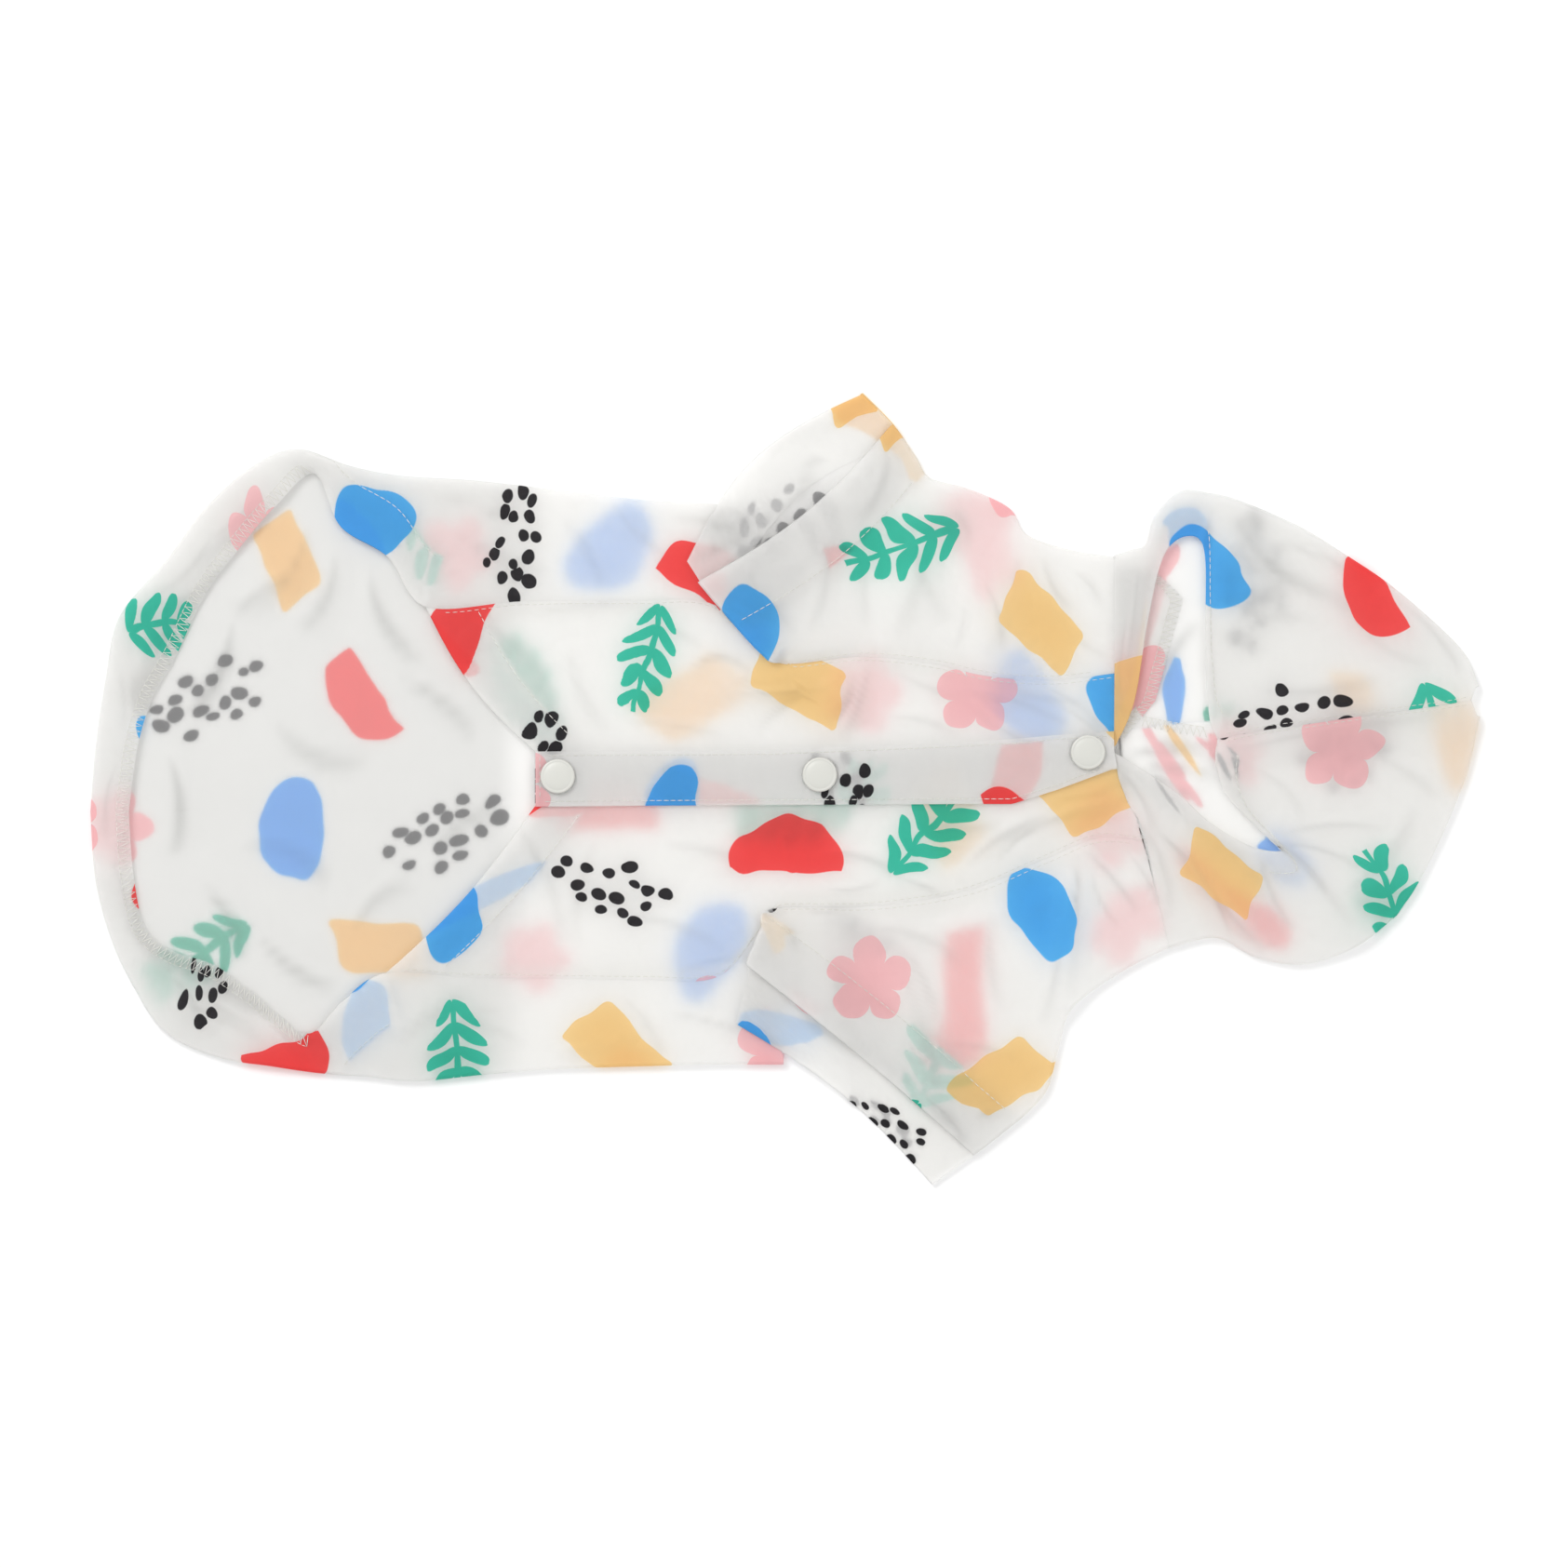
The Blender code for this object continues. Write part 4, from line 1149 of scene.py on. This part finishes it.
backSheets = []
for side in ("right", "left"):
    half = backHalf(side)
    extra, extraFlat = shoulderHalf(side)
    columns = half.points.shape[1]
    pad = np.full((len(extra), columns - 31, 3), np.nan)
    join = Sheet(np.concatenate([half.points, np.concatenate([pad, extra], axis=1)]),
                 np.concatenate([half.flat, np.concatenate([pad[..., :2], extraFlat], axis=1)]),
                 np.concatenate([half.onTop, np.zeros((len(extra), columns))]))
    backHalves[side] = half
    corner = backPiece["cornerRow"][side] * steps
    rim = backPiece["rimEndRow"] * steps
    hemRows = slice(rim - 4, corner + 1)
    fade = np.linspace(0.0, 1.0, corner + 5 - rim)
    facing = 1 if half.normals()[20, 4, 2] > 0 else -1
    hemWide = 4.0 + (backPiece["hemWidth"] - 4.0) * smooth(fade * 3.0)
    hem = turnedHem(part(half, hemRows, slice(0, 16)), hemWide, facing)
    backSheets += [join if facing > 0 else backwards(join), hem]
backSewing = Sewing("backSewing")
for side in ("right", "left"):
    half = backHalves[side]
    rim = slice(0, backPiece["rimEndRow"] * steps)
    backSewing.overlock(inset(half, 0.3, rim), inset(half, 4.6, rim))
    corner = backPiece["cornerRow"][side] * steps
    past = slice(backPiece["rimEndRow"] * steps + 8, corner)
    backSewing.stitches(inset(half, backPiece["hemWidth"] - 1.0, past))
back, backArea, backSize = makeCloth("backCloth", backSheets, 3, 0.0, (0.0, 12.0))
finishCloth(back, backArea, "back_panel", backSize, [backSewing])

print("shirt: sleeves")


def sleeveSheets(side):
    rows = sleeveRows[side]
    armpit = sleevePiece["armpitRow"] * steps
    cuff = sleevePiece["cuffRow"] * steps
    sign = 1.0 if side == "right" else -1.0
    curve = sleevePiece["cuffCurve"][side]

    def bows(k):
        share = max(0.0, (k - armpit) / (cuff - armpit))
        return -curve[0] * min(1.0, share) * sign, curve[1] * max(0.0, share - 0.4) * sign

    base = sleeveBase(side)
    sheet = foldedSheet(rows, base, (40, 30), bows, "upper")
    points = sheet.points
    # along the sleeve seam the edge comes down to the belly
    number = np.arange(len(rows)) / steps
    seamPart = smooth((number - 2.6) / 1.2) * smooth((5.6 - number) / 0.5)
    reach = np.linalg.norm(points[:, :, :2] - points[:, :1, :2], axis=2)
    lift = base(points[..., 0], points[..., 1])
    near = np.clip(1.0 - reach / 9.0, 0.0, 1.0) ** 2 * sheet.onTop
    points[..., 2] -= (lift - 0.25) * near * seamPart[:, None] * (lift > 0.3)
    points[0, :, 0] = neckX(points[0, :, 1]) - 0.02
    upperEnd = 40 + shirt["foldSteps"] // 2
    points[cuff + 1:, :upperEnd] = np.nan
    return sheet, armpit, cuff


for side, name, node, seed, turn, shift in (
    ("right", "sleeveRightCloth", "sleeve_right", 5, 0.5, (10.0, 4.0)),
    ("left", "sleeveLeftCloth", "sleeve_left", 7, -0.4, (26.0, 30.0)),
):
    sheet, armpit, cuff = sleeveSheets(side)
    ups = sheet.normals()[10, 5, 2] > 0
    order = slice(None) if ups else slice(None, None, -1)
    body = part(sheet, order)
    pieces = [body]
    # underarm: from the upper edge round to the lower layer
    tube = []
    tubeFlat = []
    base = sleeveBase(side)
    for k in range(armpit, cuff + 1):
        top = sheet.points[k, 0]
        grow = min(1.0, (k - armpit) / 10.0)
        lowEdge = sheet.points[k, -1]
        outward = unit(sheet.points[k, 0, :2] - sheet.points[k, 3, :2])
        floorZ = base(np.array([top[0]]), np.array([top[1]]))[0]
        radius = (top[2] - floorZ) * 0.5 * grow
        line, flatLine = [], []
        count = 8
        for s in range(count + 1):
            angle = math.pi * s / count
            spot = top[:2] + outward * radius * math.sin(angle) * 0.6
            z = top[2] - (top[2] - floorZ - 0.02) * (1 - math.cos(angle)) * 0.5
            line.append((spot[0], spot[1], z))
            flatLine.append(sheet.flat[k, 0] + outward * (math.pi * radius * s / count))
        for s in range(1, 7):
            spot = top[:2] + (lowEdge[:2] - top[:2]) * s / 6
            line.append((spot[0], spot[1], floorZ + 0.02 + (lowEdge[2] - floorZ - 0.02) * s / 6))
            away = np.linalg.norm(spot - top[:2])
            flatLine.append(sheet.flat[k, 0] + outward * (math.pi * radius + away))
        tube.append(line)
        tubeFlat.append(flatLine)
    tube = Sheet(tube, tubeFlat, np.zeros((len(tube), 15)))
    tube = Sheet(tube.points[order, ::-1], tube.flat[order, ::-1], tube.onTop)
    pieces.append(tube)
    # turned hems of the cuff, upper layer and lower layer
    upperHem = crosswise(part(sheet, slice(cuff, cuff - 34, -1), slice(0, 44)))
    lowerHem = crosswise(part(sheet, slice(len(sheet.points) - 1, len(sheet.points) - 44, -1), slice(45, None)))
    for strip in (upperHem, lowerHem):
        pieces.append(turnedHem(strip, sleevePiece["hemWidth"], 1 if ups else -1))
    sewing = Sewing(name.replace("Cloth", "Sewing"))
    sewing.stitches(inset(upperHem, sleevePiece["hemWidth"] - 1.2, slice(1, 40)))
    sewing.overlock(inset(upperHem, sleevePiece["hemWidth"] + 0.6, slice(1, 40), -0.9),
                    inset(upperHem, sleevePiece["hemWidth"] - 3.0, slice(1, 40), -0.9))
    raglan = slice(6, armpit)
    sewing.stitches(inset(sheet, 1.6, raglan), 2.6, 0.9, 0.12)
    sewing.overlock(inset(sheet, 0.6, raglan, -0.75), inset(sheet, 5.2, raglan, -0.75), 2.4, 0.12)
    item, area, size = makeCloth(name, pieces, seed, turn, shift)
    finishCloth(item, area, node, size, [sewing])

print("shirt: hood")


def lowerInside(x, y):
    # inside face of the lower layer
    return lowerBed(x, y) + shirt["clothThick"]


def facingHeight(x, y):
    return lowerInside(x, y) + 0.3


def facingSheet():
    # the strip of cloth that covers the neck seam inside the hood
    edge = np.array(hoodPiece["facingEdge"])
    points, flat = [], []
    for y in np.linspace(edge[0, 0], edge[-1, 0], 60):
        right = np.interp(y, edge[:, 0], edge[:, 1])
        left = min(right - 0.3, neckX(y) + 0.6)
        x = np.linspace(left, right, 12)
        row = np.full(12, y)
        points.append(np.column_stack([x, row, facingHeight(x, row)]))
        flat.append(np.column_stack([row * 1.0 + 90.0, x]))
    return Sheet(points, flat, np.zeros((60, 12)))


for side, name, node, seed, turn, shift in (
    ("right", "hoodRightCloth", "hood_right", 4, 1.1, (0.0, 20.0)),
    ("left", "hoodLeftCloth", "hood_left", 9, -0.9, (14.0, 0.0)),
):
    rows = hoodRows[side]
    sheet = foldedSheet(rows, noBase, (36, 28), lambda k: (0.0, 0.0), "upper")
    sheet.points[-1, :, 0] = neckX(sheet.points[-1, :, 1]) + 0.02
    ups = sheet.normals()[60, 5, 2] > 0
    order = slice(None) if ups else slice(None, None, -1)
    pieces = [part(sheet, order)]
    brimRows = slice(seamCount - 1, len(rows))
    pieces.append(turnedHem(part(sheet, brimRows, slice(0, 34)), hoodPiece["brimWidth"], 1 if ups else -1))
    sewing = Sewing(name.replace("Cloth", "Sewing"))
    brim = slice(seamCount - 1, (hoodPiece["seamRow"] + (4 if side == "left" else 3)) * steps)
    sewing.stitches(inset(sheet, hoodPiece["brimWidth"] - 1.0, brim))
    sewing.overlock(inset(sheet, hoodPiece["brimWidth"] + 0.6, brim, -0.75),
                    inset(sheet, hoodPiece["brimWidth"] - 3.4, brim, -0.75), 2.4, 0.12)
    sewing.stitches(inset(sheet, 1.5, slice(4, seamCount)), 2.6, 0.9, 0.12)
    if side == "right":
        facing = facingSheet()
        pieces.append(facing if facing.normals()[4, 4, 2] > 0 else backwards(facing))
        edge = [(x, y) for y, x in hoodPiece["facingEdge"]]
        inner = [(x - 4.2, y) for y, x in hoodPiece["facingEdge"]]
        sewing.overlock(planPath(edge, facingHeight), planPath(inner, facingHeight))
        beside = [(x, y + 3.6) for x, y in hoodPiece["backSeam"]]
        sewing.overlock(planPath(hoodPiece["backSeam"], lowerInside), planPath(beside, lowerInside))
    item, area, size = makeCloth(name, pieces, seed, turn, shift, hoodPiece["evenShade"])
    finishCloth(item, area, node, size, [sewing])

print("shirt: belly panels and snap band")
bandLine = np.array(bandPiece["line"])


def bandAt(x):
    return np.interp(x, bandLine[:, 0], bandLine[:, 1]), np.interp(x, bandLine[:, 0], bandLine[:, 2])


def bellySheet(side):
    outer = outerLine(side)
    first, reach = outer[0][0], outer[-1][0] - outer[0][0]
    plan, bandRows = [], []
    for k, edge in enumerate(outer):
        station = bandLine[0][0] + (bandLine[-1][0] - bandLine[0][0]) * (edge[0] - first) / reach
        high, low = bandAt(station)
        fade = max(0.0, 1.0 - k / steps / 1.5)
        if side == "right":
            line = straight(edge, np.array([station, high]), 32, -4.0 * fade)
            more = np.column_stack([np.full(8, station), np.linspace(high, low, 9)[1:]])
            line = np.concatenate([line, more])
        else:
            line = straight(np.array([station, low - 0.1]), edge, 36, 3.0 * fade)
        if k == len(outer) - 1:
            line[:, 0] = neckX(line[:, 1]) - 0.02
        plan.append(line)
        bandRows.append((station, high, low))
    plan = np.array(plan)
    z = topHeight(plan[..., 0], plan[..., 1], True)
    return Sheet(np.concatenate([plan, z[..., None]], axis=2), plan.copy(), np.ones(z.shape)), bandRows


for side, name, node, seed, turn, shift in (
    ("right", "bellyRightCloth", "belly_panel_right", 2, 0.15, (30.0, 6.0)),
    ("left", "bellyLeftCloth", "belly_panel_left", 8, -0.2, (8.0, 22.0)),
):
    sheet, bandRows = bellySheet(side)
    ups = sheet.normals()[10, 5, 2] > 0
    order = slice(None) if ups else slice(None, None, -1)
    pieces = [part(sheet, order)]
    pieces.append(turnedHem(crosswise(part(sheet, slice(0, 40))), backPiece["hemWidth"], -1 if ups else 1))
    sewing = Sewing(name.replace("Cloth", "Sewing"))
    opening = crosswise(part(sheet, slice(0, 60)))
    hemRows = slice(1, 30) if side == "right" else slice(2, 36)
    sewing.stitches(inset(opening, backPiece["hemWidth"] - 1.0, hemRows))
    sewing.overlock(inset(opening, backPiece["hemWidth"] + 0.6, hemRows, -0.75),
                    inset(opening, backPiece["hemWidth"] - 3.0, hemRows, -0.75), 2.4, 0.12)
    seamSide = sheet if side == "right" else turnedRound(sheet)
    sewing.stitches(inset(seamSide, 1.4, slice(3, None)), 2.6, 0.9, 0.12)
    sewing.overlock(inset(seamSide, 0.6, slice(3, None), -0.75),
                    inset(seamSide, 5.2, slice(3, None), -0.75), 2.4, 0.12)
    item, area, size = makeCloth(name, pieces, seed, turn, shift)
    finishCloth(item, area, node, size, [sewing])
    if side == "right":
        bandStations = np.array(bandRows)

points, flat = [], []
for k, (station, high, low) in enumerate(bandStations):
    across = [high - (high - low) * t for t in np.linspace(0.0, 1.0, 13)]
    raised = [bandPiece["lift"] * (0.35 + 0.65 * float(smooth(t / 0.14))) for t in np.linspace(0.0, 1.0, 13)]
    line = [(station, y, h) for y, h in zip(across, raised)]
    for angle in (0.3, 0.5, 0.7):
        line.append((station, low - 0.35 * math.sin(math.pi * angle), bandPiece["lift"] - 0.8 * angle))
    for t in np.linspace(0.0, 0.9, 8):
        line.append((station, low + (high - low) * t, 0.32))
    line = np.array(line)
    if k == len(bandStations) - 1:
        line[:, 0] = neckX(line[:, 1]) - 0.02
    surface = topHeight(line[:, 0], np.maximum(line[:, 1], low), True)
    points.append(np.column_stack([line[:, 0], line[:, 1], surface + line[:, 2]]))
    reach = np.concatenate([[0.0], np.cumsum(np.linalg.norm(np.diff(line[:, 1:], axis=0), axis=1))])
    flat.append(np.column_stack([line[:, 0], high - reach]))
bandSheet = Sheet(points, flat, np.ones(np.array(points).shape[:2]))
ups = bandSheet.normals()[10, 5, 2] > 0
bandOrder = slice(None) if ups else slice(None, None, -1)
bandSewing = Sewing("snapBandSewing")
visible = part(bandSheet, slice(None), slice(0, 13))
bandSewing.stitches(inset(visible, 1.6, slice(2, -2)))
bandSewing.stitches(inset(turnedRound(visible), 1.5, slice(2, -2)))
bandSewing.stitches(inset(crosswise(visible), 1.6, slice(1, -1)))
item, area, size = makeCloth("snapBandCloth", [part(bandSheet, bandOrder)], 6, 0.1, (40.0, 8.0))
finishCloth(item, area, "snap_band", size, [bandSewing])

print("shirt: snaps")
snapPiece = {
    "places": {"snap_cap_hem": (-82.0, 4.6), "snap_cap_middle": (12.0, 5.2), "snap_cap_neck": (108.2, 13.2)},
    "radius": 6.2,
    "profile": [
        # radius share, height above the cloth
        (1.0, 0.0), (1.0, 0.95), (0.985, 1.3), (0.95, 1.52), (0.9, 1.62), (0.86, 1.6),
        (0.835, 1.52), (0.81, 1.55), (0.74, 1.76), (0.6, 1.96), (0.42, 2.1), (0.22, 2.18), (0.08, 2.2),
    ],
}


def snapMesh(name, node, x, y):
    near = np.array([(x + a, y + b) for a in (-5.0, 0.0, 5.0) for b in (-5.0, 0.0, 5.0)])
    foot = float(np.median(topHeight(near[:, 0], near[:, 1], True))) + bandPiece["lift"] - 0.1
    around = 64
    points, faces = [], []
    for share, height in snapPiece["profile"]:
        for k in range(around):
            angle = 2 * math.pi * k / around
            radius = snapPiece["radius"] * share
            points.append((x + radius * math.cos(angle), y + radius * math.sin(angle), foot + height))
    points.append((x, y, foot + 2.2))
    points.append((x, y, foot))
    rings = len(snapPiece["profile"])
    for r in range(rings - 1):
        for k in range(around):
            a, b = r * around + k, r * around + (k + 1) % around
            faces.append((a, b, b + around, a + around))
    for k in range(around):
        a, b = (rings - 1) * around + k, (rings - 1) * around + (k + 1) % around
        faces.append((a, b, rings * around))
        faces.append((rings * around + 1, (k + 1) % around, k))
    middle = (shirt["middleX"], shirt["middleY"], 0.0)
    mesh = bpy.data.meshes.new(name)
    mesh.from_pydata([tuple((p - m) * 0.001 for p, m in zip(q, middle)) for q in points], [], faces)
    mesh.polygons.foreach_set("use_smooth", [True] * len(mesh.polygons))
    mesh.materials.append(bpy.data.materials["snapPlastic"])
    item = bpy.data.objects.new(name, mesh)
    bpy.context.scene.collection.objects.link(item)
    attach(item, "root")
    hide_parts(node)


for node, (x, y) in snapPiece["places"].items():
    snapMesh("snap" + node.split("_")[-1].capitalize(), node, x, y)

print("shirt: floor, light and camera")
studio = {
    "frameWidth": 0.5628,
    "distance": 1.7,
    "centre": (-0.000435, 0.001787),
    "world": 0.76,
    "keyPower": 17.0,
    "layersLit": 4,          # bounces that are followed before the rounding off
    "floorHalf": 3.0,
    "floorLevel": -0.0004,
}

floorMesh = bpy.data.meshes.new("floor")
wide, level = studio["floorHalf"], studio["floorLevel"]
floorCorners = [(x * wide, y * wide, level) for x, y in ((-1, -1), (1, -1), (1, 1), (-1, 1))]
floorMesh.from_pydata(floorCorners, [], [(0, 1, 2, 3)])
floor = bpy.data.objects.new("floor", floorMesh)
bpy.context.scene.collection.objects.link(floor)
floorPaper = bpy.data.materials.new("floorPaper")
floorPaper.use_nodes = True
floorShader = floorPaper.node_tree.nodes["Principled BSDF"]
floorShader.inputs["Base Color"].default_value = (0.97, 0.97, 0.97, 1.0)
floorShader.inputs["Roughness"].default_value = 0.9
floorMesh.materials.append(floorPaper)

world = bpy.data.worlds.new("studio")
world.use_nodes = True
world.node_tree.nodes["Background"].inputs["Color"].default_value = (1.0, 1.0, 1.0, 1.0)
world.node_tree.nodes["Background"].inputs["Strength"].default_value = studio["world"]
bpy.context.scene.world = world
# light that has been through several layers is rounded off to the light of the room
world.light_settings.distance = 0.0005
world.light_settings.ao_factor = 1.0
bpy.context.scene.cycles.use_fast_gi = True
bpy.context.scene.cycles.fast_gi_method = "REPLACE"
bpy.context.scene.cycles.ao_bounces_render = studio["layersLit"]


def softLight(name, place, size, power):
    data = bpy.data.lights.new(name, "AREA")
    data.shape = "SQUARE"
    data.size = size
    data.energy = power
    lamp = bpy.data.objects.new(name, data)
    lamp.location = place
    lamp.rotation_euler = (-Vector(place)).to_track_quat("-Z", "Y").to_euler()
    bpy.context.scene.collection.objects.link(lamp)


softLight("keyLight", (-0.9, 1.1, 1.3), 0.9, studio["keyPower"])
softLight("fillLight", (1.2, -0.6, 1.5), 1.2, studio["keyPower"] * 0.35)

camera = bpy.data.cameras.new("camera")
camera.sensor_width = 36.0
camera.lens = 36.0 * studio["distance"] / studio["frameWidth"]
camera.clip_start = 0.01
camera.clip_end = 20.0
cameraObject = bpy.data.objects.new("camera", camera)
cameraObject.location = (studio["centre"][0], studio["centre"][1], studio["distance"] + 0.003)
bpy.context.scene.collection.objects.link(cameraObject)
bpy.context.scene.camera = cameraObject
bpy.context.scene.view_settings.view_transform = "Standard"
